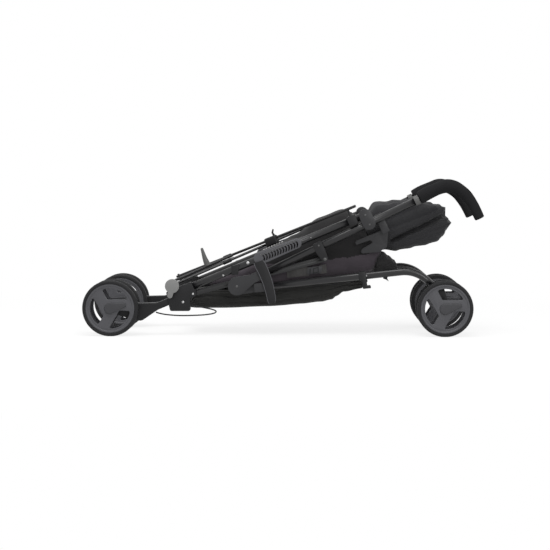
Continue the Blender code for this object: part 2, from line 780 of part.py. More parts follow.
def make_lower_bracket(side):
    """The moulded block low on the rear leg: it carries the brace pin and faces the strut's foot."""
    y = SIDES[side] * FRAME_HALF_WIDTH
    top = TUBE_RADIUS + 0.003
    flange = STRUT_FOOT_DROP + 0.008
    corners = []
    for distance, lift, radius in (
        (LOWER_BRACKET_START, top, 0.003),
        (LOWER_BRACKET_START - 0.003, -flange, 0.007),
        (LOWER_BRACKET_START + 0.018, -flange, 0.002),
        (LOWER_BRACKET_START + 0.031, -LOWER_BRACKET_DEPTH, 0.004),
        (LOWER_BRACKET_END + 0.0093, -0.65 * LOWER_BRACKET_DEPTH, 0.005),
        (LOWER_BRACKET_END, top, 0.003),
    ):
        corners.append((*on_rear(distance, lift), radius))
    depth = LOWER_BRACKET_HALF_WIDTH
    name = f"lower_bracket_{side}"
    block = plate(name, [rounded(corners)], y - depth, y + depth, BLACK_PLASTIC)
    start = at(on_rear(LOWER_BRACKET_START - 0.01), y)
    end = at(on_rear(LOWER_BRACKET_END + 0.01), y)
    cut(block, bar(f"{name}_bore", start, end, TUBE_RADIUS + SEAT_GAP, BLACK_PLASTIC, 16, tool=True))
    pin_foot = at(on_rear(BRACE_FOOT_ALONG, TUBE_RADIUS + 0.0015), y)
    pin_top = at(on_rear(BRACE_FOOT_ALONG, BRACE_HIGH_LIFT + BRACE_EYE_THICKNESS), y)
    add(block, bar(f"{name}_brace_pin", pin_foot, pin_top, PIN_RADIUS, BLACK_PLASTIC, 12, tool=True))
    return block


def make_rear_housing(side):
    """The moulded foot of the rear leg, between its two wheels."""
    y = SIDES[side] * FRAME_HALF_WIDTH
    top = HOUSING_ARM_HALF - HOUSING_ARM_DROP
    bottom = -HOUSING_ARM_HALF - HOUSING_ARM_DROP
    # the arm's end lies against the sloping end of the lower bracket
    start = LOWER_BRACKET_END + SEAT_GAP
    lean = 0.0093 / (TUBE_RADIUS + 0.003 + 0.65 * LOWER_BRACKET_DEPTH)
    top_start = start + lean * (TUBE_RADIUS + 0.003 - top)
    bottom_start = start + lean * (TUBE_RADIUS + 0.003 - bottom)
    outline = [
        (*on_rear(top_start, top), 0.002),
        (*on_rear(bottom_start, bottom), 0.002),
        (*on_rear(start + 0.037, bottom), 0.030),
        (*on_rear(start + 0.089, bottom - 0.011), 0.016),
        (REAR_AXLE_X + 0.040, AXLE_Z - 0.026, 0.016),
        (REAR_AXLE_X, AXLE_Z - 0.014, 0.008),
        (REAR_AXLE_X - 0.016, AXLE_Z, 0.011),
        (REAR_AXLE_X, AXLE_Z + 0.016, 0.010),
        (REAR_AXLE_X + 0.045, AXLE_Z + 0.024, 0.016),
        (*on_rear(start + 0.077, top + 0.017), 0.012),
        (*on_rear(start + 0.033, top), 0.030),
    ]
    depth = HOUSING_HALF_DEPTH
    name = f"rear_wheel_housing_{side}"
    housing = plate(name, [rounded(outline)], y - depth, y + depth, BLACK_PLASTIC)
    low = y - depth - 0.01
    high = y + depth + 0.01
    cut(housing, cross_pin(f"{name}_bore", REAR_AXLE, AXLE_RADIUS + SEAT_GAP, low, high))
    return housing


def make_strut(side, carrier):
    """The runner on the handle tube and the strut from it down to the rear leg."""
    inward = -SIDES[side]
    y = SIDES[side] * FRAME_HALF_WIDTH
    slide = joint(f"strut_slide_{side}", at(on_handle(STRUT_RUNNER_ALONG), y), carrier)
    half = TUBE_RADIUS + 0.0032
    corners = []
    for distance, lift, radius in (
        (-0.014, half, 0.004),
        (0.011, half, 0.004),
        (0.011, -half, 0.002),
        (0.007, -STRUT_EAR_DROP - 0.006, 0.006),
        (-0.007, -STRUT_EAR_DROP - 0.006, 0.006),
        (-0.014, -half, 0.002),
    ):
        corners.append((*on_handle(STRUT_RUNNER_ALONG + distance, lift), radius))
    name = f"strut_runner_{side}"
    runner = plate(name, [rounded(corners, 2)], y - half, y + half, BLACK_PLASTIC)
    start = at(on_handle(STRUT_RUNNER_ALONG - 0.03), y)
    end = at(on_handle(STRUT_RUNNER_ALONG + 0.03), y)
    cut(runner, bar(f"{name}_bore", start, end, TUBE_RADIUS + SEAT_GAP, BLACK_PLASTIC, 16, tool=True))
    reach = y + inward * (STRUT_INSET + STRUT_THICKNESS)
    low, high = sorted((y, reach))
    add(runner, cross_pin(f"{name}_pin", STRUT_HEAD, PIN_RADIUS, low, high))
    attach(runner, slide)
    swing = joint(f"strut_swing_{side}", at(STRUT_HEAD, y), slide)
    outline = link_outline(STRUT_HEAD, STRUT_FOOT, STRUT_HALF_HEIGHT + 0.002, STRUT_HALF_HEIGHT + 0.002, 6)
    loops = [outline, circle_outline(STRUT_HEAD, PIN_RADIUS + SEAT_GAP)]
    middle = y + inward * STRUT_INSET
    low = middle - STRUT_THICKNESS / 2
    high = middle + STRUT_THICKNESS / 2
    strut = plate(f"strut_{side}", loops, low, high, BLACK_TUBE)
    bracket_face = y + inward * (LOWER_BRACKET_HALF_WIDTH + SEAT_GAP)
    head = middle + inward * STRUT_THICKNESS
    low, high = sorted((bracket_face, head))
    add(strut, cross_pin(f"strut_foot_pin_{side}", STRUT_FOOT, PIN_RADIUS, low, high))
    attach(strut, swing)


def rod_with_eye(name, foot, head, lift, tip, material):
    """A round rod in the plane behind the rear legs, with an eye round its lower pin.

    foot and head are (distance down the leg, y).
    """
    start = Vector(at(on_rear(foot[0], lift), foot[1]))
    end = Vector(at(on_rear(head[0], lift), head[1]))
    run = (end - start).normalized()
    rod = sweep(name, [start + run * 0.004, end + run * tip], BRACE_ROD_RADIUS, material, 8)
    half = BRACE_EYE_THICKNESS / 2
    low = at(on_rear(foot[0], lift - half), foot[1])
    high = at(on_rear(foot[0], lift + half), foot[1])
    add(rod, bar(f"{name}_eye", low, high, BRACE_EYE_RADIUS, material, 14, tool=True))
    low = at(on_rear(foot[0], lift - 3 * half), foot[1])
    high = at(on_rear(foot[0], lift + 3 * half), foot[1])
    cut(rod, bar(f"{name}_bore", low, high, PIN_RADIUS + SEAT_GAP, material, 12, tool=True))
    return rod, start, end


def make_brace(side, carrier):
    """One bar of the X brace, its runner on the other leg's side, and the folding lock bar."""
    outward = SIDES[side]
    y = outward * FRAME_HALF_WIDTH
    lift = BRACE_LOW_LIFT if side == "right" else BRACE_HIGH_LIFT
    foot = (BRACE_FOOT_ALONG, y)
    swing = joint(f"brace_swing_{side}", at(on_rear(foot[0], lift), y), carrier)
    head = (BRACE_TOP_ALONG, -y)
    rod, start, end = rod_with_eye(f"brace_bar_{side}", foot, head, lift, BRACE_TIP_LENGTH, BLACK_TUBE)
    attach(rod, swing)
    lift = BRACE_HIGH_LIFT if side == "right" else BRACE_LOW_LIFT
    run = math.sqrt(LOCK_BAR_LENGTH**2 - FRAME_HALF_WIDTH**2)
    head = (BRACE_FOOT_ALONG - run, 0)
    lock_swing = joint(f"lock_swing_{side}", at(on_rear(foot[0], lift), y), carrier)
    lock, lock_start, lock_end = rod_with_eye(f"lock_bar_{side}", foot, head, lift, 0.0, BLACK_TUBE)
    attach(lock, lock_swing)
    slide = joint(f"brace_slide_{side}", at(on_rear(BRACE_TOP_ALONG), y), carrier)
    corners = []
    depth = RUNNER_HALF_DEPTH
    for distance, height in ((-1, 1), (-1, -1), (1, -1), (1, 1)):
        place = BRACE_TOP_ALONG + distance * RUNNER_HALF_LENGTH
        corners.append((*on_rear(place, height * depth), 0.004))
    name = f"brace_runner_{side}"
    runner = plate(name, [rounded(corners, 2)], y - depth, y + depth, BLACK_PLASTIC)
    arm_lift = BRACE_HIGH_LIFT if side == "right" else BRACE_LOW_LIFT
    post_foot = at(on_rear(BRACE_TOP_ALONG, depth / 2 + TUBE_RADIUS / 2), y)
    post_top = at(on_rear(BRACE_TOP_ALONG, arm_lift - BRACE_ROD_RADIUS - SWING_GAP / 2), y)
    add(runner, bar(f"{name}_post", post_foot, post_top, PIN_RADIUS, BLACK_PLASTIC, 10, tool=True))
    bore_start = at(on_rear(BRACE_TOP_ALONG - 0.03), y)
    bore_end = at(on_rear(BRACE_TOP_ALONG + 0.03), y)
    radius = TUBE_RADIUS + SEAT_GAP
    cut(runner, bar(f"{name}_bore", bore_start, bore_end, radius, BLACK_PLASTIC, 16, tool=True))
    attach(runner, slide)
    return swing, start, end, lock_swing, lock_start, lock_end


def make_brace_hub(carrier, start, end):
    """The block on the upper bar of the X brace, above its crossing, with a hooked prong."""
    run = (end - start).normalized()
    centre = (start + end) / 2 + run * HUB_BLOCK_SHIFT
    normal = Vector((-math.sin(REAR_SLOPE), 0, math.cos(REAR_SLOPE)))
    mesh = bpy.data.meshes.new("brace_hub")
    shape = bmesh.new()
    bmesh.ops.create_cube(shape, size=1.0)
    basis = Matrix((run, normal.cross(run), normal)).transposed().to_4x4()
    size = Matrix.Diagonal((HUB_BLOCK_LENGTH, HUB_BLOCK_WIDTH, HUB_BLOCK_HEIGHT, 1))
    middle = centre + normal * (HUB_BLOCK_LIFT - BRACE_HIGH_LIFT)
    bmesh.ops.transform(shape, matrix=Matrix.Translation(middle) @ basis @ size, verts=shape.verts)
    bmesh.ops.bevel(shape, geom=shape.edges, offset=0.003, segments=1, affect="EDGES", clamp_overlap=True)
    shape.to_mesh(mesh)
    shape.free()
    hub = add_object("brace_hub", mesh, BLACK_PLASTIC)
    radius = BRACE_ROD_RADIUS + SEAT_GAP
    cut(hub, bar("hub_bore", centre - run * 0.04, centre + run * 0.04, radius, BLACK_PLASTIC, 12, tool=True))
    top = HUB_BLOCK_LIFT + HUB_BLOCK_HEIGHT / 2 - BRACE_HIGH_LIFT
    root = centre + run * (HUB_BLOCK_LENGTH / 2 - 0.005) + normal * (top - 0.003)
    bend = root + normal * 0.011 - run * 0.002
    tip = bend + normal * 0.008 + run * 0.006
    radii = [0.0036, 0.0028, 0.0020]
    prong = sweep("hub_prong", [root, bend, tip], 0.0028, BLACK_PLASTIC, 8, radii, tool=True)
    add(hub, prong)
    attach(hub, carrier)


def make_fold_pedal(carrier, start, end):
    """The horn-shaped foot pedal on the lock bar."""
    run = (end - start).normalized()
    normal = Vector((-math.sin(REAR_SLOPE), 0, math.cos(REAR_SLOPE)))
    centre = start + run * PEDAL_DISTANCE
    hinge = joint("fold_pedal_hinge", centre, carrier)
    # share of the height, lean down the bar and share of the foot's radius
    stations = [(0.0, 0.0, 1.0), (0.22, 0.0, 0.90), (0.52, 0.0005, 0.70), (1.0, 0.003, 0.42)]
    points = []
    radii = []
    for share, lean, width in stations:
        points.append(centre + normal * (PEDAL_HEIGHT * share + 0.0015) + run * lean)
        radii.append(PEDAL_RADIUS * width)
    horn = sweep("fold_pedal", points, PEDAL_RADIUS, PALE_PLASTIC, 10, radii)
    radius = BRACE_ROD_RADIUS + SEAT_GAP
    first = centre - run * 0.05
    last = centre + run * 0.05
    cut(horn, bar("pedal_bore", first, last, radius, PALE_PLASTIC, 12, tool=True))
    attach(horn, hinge)


def make_brake_pedal(carrier):
    """The round parking brake pedal beside the right rear leg."""
    outward = SIDES["right"]
    y = outward * FRAME_HALF_WIDTH
    hinge_point = on_rear(LOWER_BRACKET_END - 0.0067, 0.0006)
    hinge = joint("brake_pedal_hinge", at(hinge_point, y), carrier)
    disc = on_rear(LOWER_BRACKET_END - 0.0214, BRAKE_DISC_LIFT)
    near = y + outward * (LOWER_BRACKET_HALF_WIDTH + SWING_GAP)
    far = near + outward * BRAKE_PEDAL_THICKNESS
    low, high = sorted((near, far))
    arm = link_outline(hinge_point, disc, 0.007, 0.0075, 5)
    pedal = plate("brake_pedal", [arm], low, high, PALE_PLASTIC)
    rim = cross_pin("pedal_disc", disc, BRAKE_DISC_RADIUS, low, high, 20)
    add(pedal, rim)
    attach(pedal, hinge)


def make_storage_latch(carrier):
    """The flat storage latch that hangs from the leg cover over the folded frame."""
    outward = SIDES["right"]
    y = outward * FRAME_HALF_WIDTH
    head = on_rear(COVER_END - 0.011, -0.0146)
    hinge = joint("storage_latch_hinge", at(head, y), carrier)
    near = y + outward * (TUBE_RADIUS + SEAT_GAP * 2 + COVER_THICKNESS)
    low, high = sorted((near, near + outward * LATCH_THICKNESS))
    half = LATCH_HALF_WIDTH
    corners = []
    head_end = ((-0.055, -1, 0.007), (-0.055, 1, 0.007))
    foot_end = ((0.945, 0.88, 0.004), (0.945, -0.88, 0.004))
    for share, width, radius in head_end + foot_end:
        corners.append((*along(head, LATCH_SLOPE, LATCH_LENGTH * share, half * width), radius))
    latch = plate("storage_latch", [rounded(corners)], low, high, GREY_PLASTIC)
    attach(latch, hinge)


def make_brake_cable(carrier):
    """The loop of brake cable under the right rear leg, from the housing to the lower bracket."""
    y = -FRAME_HALF_WIDTH
    route = [
        (-0.3326, y, 0.0598),
        (-0.3220, y - 0.001, 0.0568),
        (-0.3020, y - 0.002, 0.0535),
        (-0.2700, y - 0.003, 0.0515),
        (-0.2350, y - 0.003, 0.0520),
        (-0.2050, y - 0.002, 0.0535),
        (-0.1820, y, 0.0570),
        (-0.1750, y + 0.002, 0.0620),
        (-0.1840, y + 0.003, 0.0670),
        (-0.2050, y + 0.003, 0.0715),
        (-0.2250, y + 0.002, 0.0760),
        (-0.2400, y, 0.0796),
    ]
    cable = sweep("brake_cable", smooth_path(route, 2), CABLE_RADIUS, BLACK_PLASTIC, 8)
    attach(cable, carrier)


def make_canopy_hinge(side, carrier):
    """The two-fingered fitting that holds the canopy's ribs, clipped on the handle tube."""
    inward = -SIDES[side]
    y = SIDES[side] * FRAME_HALF_WIDTH
    name = f"canopy_hinge_{side}"
    outline = [
        (0.276, 0.284, 0.006),
        (0.243, 0.268, 0.010),
        (0.190, 0.246, 0.006),
        (0.189, 0.235, 0.006),
        (0.228, 0.2485, 0.003),
        (0.236, 0.2430, 0.004),
        (0.206, 0.2250, 0.004),
        (0.203, 0.2130, 0.005),
        (0.250, 0.2170, 0.010),
        (0.272, 0.2300, 0.008),
    ]
    low, high = sorted((y + inward * 0.0165, y + inward * 0.0235))
    hinge = plate(name, [rounded(outline)], low, high, GREY_PLASTIC)
    first = CANOPY_CLIP_START
    last = CANOPY_CLIP_START + CANOPY_CLIP_LENGTH
    clip_top = TUBE_RADIUS + 0.0015
    clip = []
    for distance, lift in ((first, clip_top), (first, -0.042), (last, -0.042), (last, clip_top)):
        clip.append((*on_handle(distance, lift), 0.002))
    low, high = sorted((y + inward * PIN_RADIUS, y + inward * 0.0200))
    add(hinge, plate(f"{name}_clip", [rounded(clip, 2)], low, high, GREY_PLASTIC, tool=True))
    start = at(on_handle(first - 0.02), y)
    end = at(on_handle(last + 0.02), y)
    cut(hinge, bar(f"{name}_bore", start, end, TUBE_RADIUS + SEAT_GAP, GREY_PLASTIC, 16, tool=True))
    attach(hinge, carrier)


def signed_power(value, power):
    return math.copysign(abs(value) ** power, value)


def soft_loft(name, frame, stations, half_width, material, folds=0, fold_depth=0.0):
    """Folded cloth as one closed, crowned body, lofted through rounded sections.

    A station is (distance, lowest lift, highest lift, share of the half width).
    """
    ring = SOFT_RING_FOLDED if folds else SOFT_RING
    path = smooth_path([Vector(station) for station in stations], 2)
    mesh = bpy.data.meshes.new(name)
    shape = bmesh.new()
    rings = []
    for distance, low, high, share in path:
        row = []
        for step in range(ring):
            angle = 2 * math.pi * step / ring
            draw_in = 1 - fold_depth * (0.5 - 0.5 * math.cos(folds * angle))
            across = half_width * share * signed_power(math.cos(angle), SOFT_SQUARENESS) * draw_in
            up = (high - low) / 2 * signed_power(math.sin(angle), SOFT_SQUARENESS) * draw_in
            row.append(shape.verts.new(at(frame(distance, (low + high) / 2 + up), across)))
        rings.append(row)
    for row, following in zip(rings, rings[1:]):
        for step in range(ring):
            after = (step + 1) % ring
            shape.faces.new((row[step], row[after], following[after], following[step]))
    for row in (rings[0], rings[-1]):
        middle = sum((corner.co for corner in row), Vector()) / ring
        cap = shape.verts.new(middle)
        for step in range(ring):
            shape.faces.new((row[step], row[(step + 1) % ring], cap))
    bmesh.ops.recalc_face_normals(shape, faces=shape.faces)
    shape.to_mesh(mesh)
    shape.free()
    return add_object(name, mesh, material)


def on_level(distance, lift):
    """A point of the seat's cloth, as shares of its reach from the knee."""
    return (KNEE_X + SEAT_REACH * distance, KNEE_Z + SEAT_REACH * lift)


def on_canopy(distance, lift):
    """A point of the canopy, as shares of its length along the handle tube."""
    return on_handle(CANOPY_START + CANOPY_LENGTH * distance, CANOPY_LENGTH * lift)


def make_soft_parts(carrier):
    canopy = [
        (0.000, -0.217, -0.063, 0.70),
        (0.086, -0.385, 0.100, 0.92),
        (0.244, -0.466, 0.181, 1.00),
        (0.425, -0.511, 0.118, 1.00),
        (0.606, -0.561, 0.050, 1.00),
        (0.742, -0.593, 0.000, 0.98),
        (0.878, -0.548, -0.081, 0.94),
        (0.968, -0.466, -0.217, 0.80),
        (1.000, -0.398, -0.290, 0.55),
    ]
    half_width = CANOPY_HALF_WIDTH
    cloth = soft_loft("canopy", on_canopy, canopy, half_width, BLACK_CLOTH, CANOPY_FOLDS, CANOPY_FOLD_DEPTH)
    attach(cloth, carrier)
    seat = [
        (-0.223, -0.003, 0.006, 0.80),
        (-0.096, -0.005, 0.057, 0.95),
        (0.000, -0.005, 0.096, 1.00),
        (0.149, 0.002, 0.155, 1.00),
        (0.319, 0.015, 0.221, 1.00),
        (0.468, 0.034, 0.279, 1.00),
        (0.617, 0.043, 0.300, 1.00),
        (0.681, 0.045, 0.283, 1.00),
        (0.713, 0.045, 0.236, 0.97),
        (0.760, 0.066, 0.172, 0.85),
    ]
    attach(soft_loft("seat_pad", on_level, seat, SOFT_HALF_WIDTH, SEAT_CLOTH), carrier)
    basket = [
        (-0.285, -0.133, -0.113, 0.80),
        (-0.238, -0.137, -0.023, 0.95),
        (-0.149, -0.137, -0.015, 1.00),
        (-0.021, -0.136, -0.015, 1.00),
        (0.170, -0.128, -0.015, 1.00),
        (0.362, -0.109, 0.002, 1.00),
        (0.500, -0.085, 0.017, 1.00),
        (0.585, -0.045, 0.022, 0.98),
        (0.691, -0.026, 0.023, 0.95),
        (0.715, -0.011, 0.015, 0.80),
    ]
    attach(soft_loft("basket", on_level, basket, SOFT_HALF_WIDTH, BLACK_CLOTH), carrier)
    calf = [
        (0.787, 0.057, 0.164, 0.85),
        (0.813, 0.051, 0.160, 1.00),
        (0.855, 0.053, 0.136, 1.00),
        (0.894, 0.057, 0.100, 0.98),
        (0.913, 0.064, 0.079, 0.85),
    ]
    attach(soft_loft("calf_rest", on_level, calf, SOFT_HALF_WIDTH, BLACK_CLOTH), carrier)
    low = -SOFT_HALF_WIDTH - BUCKLE_THICKNESS
    high = -SOFT_HALF_WIDTH - SEAT_GAP
    corners = []
    for distance, lift in ((0.387, 0.060), (0.470, 0.070), (0.474, 0.111), (0.391, 0.100)):
        corners.append((*on_level(distance, lift), 0.003))
    attach(plate("harness_buckle", [rounded(corners, 2)], low, high, BLACK_PLASTIC), carrier)


def make_pushchair():
    root = joint("frame_right", at(KNEE, -FRAME_HALF_WIDTH))
    left = joint("frame_left", at(KNEE, FRAME_HALF_WIDTH), root)
    make_soft_parts(root)
    braces = {}
    for side, carrier in (("right", root), ("left", left)):
        make_handle(side, carrier)
        make_top_bracket(side, carrier)
        make_knee(side, carrier)
        make_front_leg(side, carrier)
        leg = make_rear_leg(side, carrier)
        make_strut(side, carrier)
        make_canopy_hinge(side, carrier)
        braces[side] = make_brace(side, leg)
        if side == "right":
            make_brake_pedal(leg)
            make_storage_latch(leg)
            make_brake_cable(leg)
    make_brace_hub(braces["left"][0], *braces["left"][1:3])
    make_fold_pedal(braces["right"][3], *braces["right"][4:6])


make_pushchair()
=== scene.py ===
# %% [markdown]
# # A folded umbrella pushchair
# The pushchair lies folded on its eight wheels, and the camera looks at its right side from a little above.
# The imported CAD model is the frame of this scene: every piece made here sits on it, in the same metres,
# and all but the cloth move with one of its bodies.

# %% Load the frame
import json
import math

import bpy
from mathutils import Matrix, Vector

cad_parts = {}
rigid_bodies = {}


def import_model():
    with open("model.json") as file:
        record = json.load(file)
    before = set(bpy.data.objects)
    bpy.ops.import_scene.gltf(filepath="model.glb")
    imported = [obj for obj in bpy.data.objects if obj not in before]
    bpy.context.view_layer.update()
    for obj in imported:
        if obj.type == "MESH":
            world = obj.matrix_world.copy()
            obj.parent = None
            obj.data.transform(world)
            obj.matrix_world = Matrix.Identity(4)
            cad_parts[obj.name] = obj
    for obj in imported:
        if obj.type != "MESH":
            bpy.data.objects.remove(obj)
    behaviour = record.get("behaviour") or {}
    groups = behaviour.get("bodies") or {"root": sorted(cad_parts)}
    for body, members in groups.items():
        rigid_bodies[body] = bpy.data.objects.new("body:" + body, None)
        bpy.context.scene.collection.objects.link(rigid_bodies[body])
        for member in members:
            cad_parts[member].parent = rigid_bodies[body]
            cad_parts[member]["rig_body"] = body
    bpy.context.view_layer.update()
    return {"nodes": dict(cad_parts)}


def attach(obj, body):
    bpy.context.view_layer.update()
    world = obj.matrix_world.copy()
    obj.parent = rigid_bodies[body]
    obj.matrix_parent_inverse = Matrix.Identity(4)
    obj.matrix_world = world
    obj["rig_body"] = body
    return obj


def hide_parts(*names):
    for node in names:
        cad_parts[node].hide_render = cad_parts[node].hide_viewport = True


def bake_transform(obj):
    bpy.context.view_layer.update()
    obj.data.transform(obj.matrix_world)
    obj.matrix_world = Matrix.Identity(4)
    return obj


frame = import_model()
nodes = frame["nodes"]

# %% [markdown]
# ## The frame's main lines
# The solids were drawn from a few lengths and slopes: the handle tube rises from the knee, the
# rear leg hangs from its pivot, and the front leg runs to the castor. Repeating those numbers
# here lets rivets, straps and cloth be placed along the same lines.

# %% Lines of the frame
WHEEL_RADIUS = 0.073
WHEEL_FACETS = 24
AXLE_Z = WHEEL_RADIUS * math.cos(math.pi / WHEEL_FACETS)
KNEE = (-0.120, 0.129)
HANDLE_SLOPE = math.radians(25.6)
FRONT_SLOPE = math.radians(6.3)
# half the spacing of the side frames, half the width of the cloth, and a tube's radius
HALF = 0.111
SOFT_HALF = 0.0823
TUBE = 0.0095
SIDES = {"right": -1, "left": 1}


def along(origin, slope, distance, lift=0.0):
    """A point of the side view: so far up a sloping line, and so far above it."""
    x = origin[0] + distance * math.cos(slope) - lift * math.sin(slope)
    z = origin[1] + distance * math.sin(slope) + lift * math.cos(slope)
    return (x, z)


def polar(radius, angle, middle=(0, 0)):
    return (middle[0] + radius * math.cos(angle), middle[1] + radius * math.sin(angle))


LEG_PIVOT = along(KNEE, HANDLE_SLOPE, 0.381, 0.0235)
REAR_FOOT = (-0.359, AXLE_Z + 0.005)
REAR_SLOPE = math.atan2(LEG_PIVOT[1] - REAR_FOOT[1], LEG_PIVOT[0] - REAR_FOOT[0])


def on_handle(distance, lift=0.0):
    return along(KNEE, HANDLE_SLOPE, distance, lift)


def on_front(distance, lift=0.0):
    return along(KNEE, FRONT_SLOPE, distance, lift - TUBE)


def on_rear(distance, lift=0.0):
    return along(LEG_PIVOT, REAR_SLOPE, -distance, lift)


def at(point, y):
    return Vector((point[0], y, point[1]))


print("rear leg slope", round(math.degrees(REAR_SLOPE), 2))

# %% [markdown]
# ## Camera
# The photograph was taken from about four metres away with a long lens, level with the handles
# and tilted down by four degrees. The long lens keeps the far wheels nearly as large as the near
# ones, so the camera keeps that distance and its narrow view.

# %% Camera
def adjust(thing, **settings):
    """Give a camera, lamp, node or modifier its settings by name."""
    for name, value in settings.items():
        setattr(thing, name, value)


bpy.ops.object.select_all(action="DESELECT")
bpy.ops.object.camera_add(
    location=(0.0651, -4.0077, 0.4290),
    rotation=(math.radians(90 - 3.977), 0, math.radians(1.261)),
)
camera = bpy.context.object
adjust(camera.data, sensor_width=36, lens=1496 / 550 * 36, clip_end=60)
bpy.context.scene.camera = camera
print("lens", round(camera.data.lens, 1), "mm")

# %% [markdown]
# ## Shader nodes
# The world, the floor and every finish are small trees of nodes. Each tree could be wired line
# by line, but the same few steps come back, so two helpers take them: one adds a node, and one
# fills in its inputs, each with a plain value or with a link.

# %% Adding a node
def fill_in(tree, node, inputs):
    """Each input gets a plain value, or a link from another node's output."""
    for name, value in inputs.items():
        if isinstance(value, bpy.types.NodeSocket):
            tree.links.new(value, node.inputs[name])
        else:
            node.inputs[name].default_value = value
    return node


def add_node(tree, kind, inputs=None, **settings):
    node = tree.nodes.new(f"ShaderNode{kind}")
    adjust(node, **settings)
    return fill_in(tree, node, inputs or {})


def multiply(tree, first, second):
    return add_node(tree, "Math", {0: first, 1: second}, operation="MULTIPLY").outputs[0]


# %% [markdown]
# ## Light
# The product is lit for a catalogue: a broad lamp above and in front makes the thin highlights
# along the black tubes, a second one from the right opens the shadows, and the world fills the
# rest. The background is white for the camera and for reflections only, so the white doesn't
# add light to the black plastic.

# %% World and lamps
WORLD_LIGHT = 0.62
bpy.context.scene.view_settings.view_transform = "Standard"
world = bpy.data.worlds.new("studio")
bpy.context.scene.world = world
world.use_nodes = True
sky = world.node_tree


def seen_directly(tree):
    """1 for rays from the camera, off gloss and through glass, 0 for those that light a surface."""
    rays = add_node(tree, "LightPath").outputs
    seen = rays["Is Camera Ray"]
    for kind in ("Is Glossy Ray", "Is Transmission Ray"):
        seen = add_node(tree, "Math", {0: seen, 1: rays[kind]}, operation="MAXIMUM").outputs[0]
    return seen


level = add_node(sky, "MapRange", {"Value": seen_directly(sky), "To Min": WORLD_LIGHT, "To Max": 1.0})
fill_in(sky, sky.nodes["Background"], {"Color": (1, 1, 1, 1), "Strength": level.outputs[0]})


def add_softbox(name, place, aim, width, height, power):
    bpy.ops.object.light_add(type="AREA", location=place)
    lamp = bpy.context.object
    lamp.name = name
    adjust(lamp.data, shape="RECTANGLE", size=width, size_y=height, energy=power)
    lamp.rotation_euler = (Vector(aim) - Vector(place)).to_track_quat("-Z", "Y").to_euler()


add_softbox("overhead_softbox", (-0.3, -0.9, 2.6), (0, 0, 0.1), 2.4, 1.2, 42)
add_softbox("front_softbox", (1.6, -3.2, 1.5), (0, 0, 0.15), 1.2, 1.2, 26)

# %% [markdown]
# ## Floor
# A white sweep holds the soft shadow under the wheels. Near the pushchair it is pale paper with
# a share of plain white for the camera; further away it fades into pure white, so no horizon
# shows.

# %% Floor
PAPER = 0.70
GLOW = 1.12
GLOW_SHARE = 0.72
FADE_START, FADE_END = 0.65, 1.5
bpy.ops.mesh.primitive_plane_add(size=24, location=(0, 0, 0))
floor = bpy.context.object
floor.name = "studio_floor"
paper = bpy.data.materials.new("white_paper")
paper.use_nodes = True
tree = paper.node_tree
tree.nodes.clear()
seen = seen_directly(tree)
matt = add_node(tree, "BsdfDiffuse", {"Color": (PAPER, PAPER, PAPER, 1)}).outputs[0]
glow = add_node(tree, "Emission", {"Strength": multiply(tree, seen, GLOW)}).outputs[0]
near_mix = {0: multiply(tree, seen, GLOW_SHARE), 1: matt, 2: glow}
near_floor = add_node(tree, "MixShader", near_mix).outputs[0]
spot = add_node(tree, "TexCoord").outputs["Object"]
reach = add_node(tree, "VectorMath", {0: spot}, operation="LENGTH").outputs["Value"]
fade_range = {"Value": reach, "From Min": FADE_START, "From Max": FADE_END}
fade = add_node(tree, "MapRange", fade_range, interpolation_type="SMOOTHSTEP").outputs[0]
far_floor = add_node(tree, "Emission").outputs[0]
mix = add_node(tree, "MixShader", {0: multiply(tree, fade, seen), 1: near_floor, 2: far_floor})
add_node(tree, "OutputMaterial", {"Surface": mix.outputs[0]})
floor.data.materials.append(paper)

# %% [markdown]
# ## Finishes
# Nearly everything is black or charcoal, so the finishes differ in sheen and in grain: lacquered
# steel tube, moulded nylon with a fine spark texture, foam with open pores, and woven cloth.
# Each is a Principled shader with a little noise in its roughness and a bump at the real scale.

# %% Finish helpers
def new_finish(name, colour, roughness, metallic=0.0, coat=0.0, gloss=0.25):
    """A Principled material of one colour."""
    material = bpy.data.materials.new(name)
    material.use_nodes = True
    looks = {
        "Base Color": (*colour, 1),
        "Roughness": roughness,
        "Metallic": metallic,
        "Specular IOR Level": gloss,
        "Coat Weight": coat,
        "Coat Roughness": 0.15,
    }
    fill_in(material.node_tree, material.node_tree.nodes["Principled BSDF"], looks)
    return material


def toned(tree, colour, contrast, factor):
    """The colour, darker where the factor is 0 and lighter where it is 1."""
    base = Vector(colour)
    ends = {"A": (*(base * (1 - contrast)), 1), "B": (*(base * (1 + contrast)), 1)}
    return add_node(tree, "Mix", {"Factor": factor, **ends}, data_type="RGBA").outputs["Result"]


def grained(
    name, colour, roughness, scale=1400, height=0.00006, band=0.07, contrast=0.12, detail=3, **look
):
    """A finish with noise in Object coordinates: a bump, a band of roughness and one of colour."""
    material = new_finish(name, colour, roughness, **look)
    tree = material.node_tree
    place = add_node(tree, "TexCoord").outputs["Object"]
    fine = add_node(tree, "TexNoise", {"Vector": place, "Scale": scale, "Detail": detail})
    bump = add_node(tree, "Bump", {"Strength": 0.6, "Distance": height, "Height": fine.outputs["Fac"]})
    broad = add_node(tree, "TexNoise", {"Vector": place, "Scale": scale / 30, "Detail": 4}).outputs["Fac"]
    ends = {"To Min": roughness - band, "To Max": min(1.0, roughness + band)}
    sheen = add_node(tree, "MapRange", {"Value": broad, **ends}).outputs[0]
    looks = {"Normal": bump.outputs["Normal"], "Roughness": sheen}
    if contrast:
        looks["Base Color"] = toned(tree, colour, contrast, broad)
    fill_in(tree, tree.nodes["Principled BSDF"], looks)
    return material


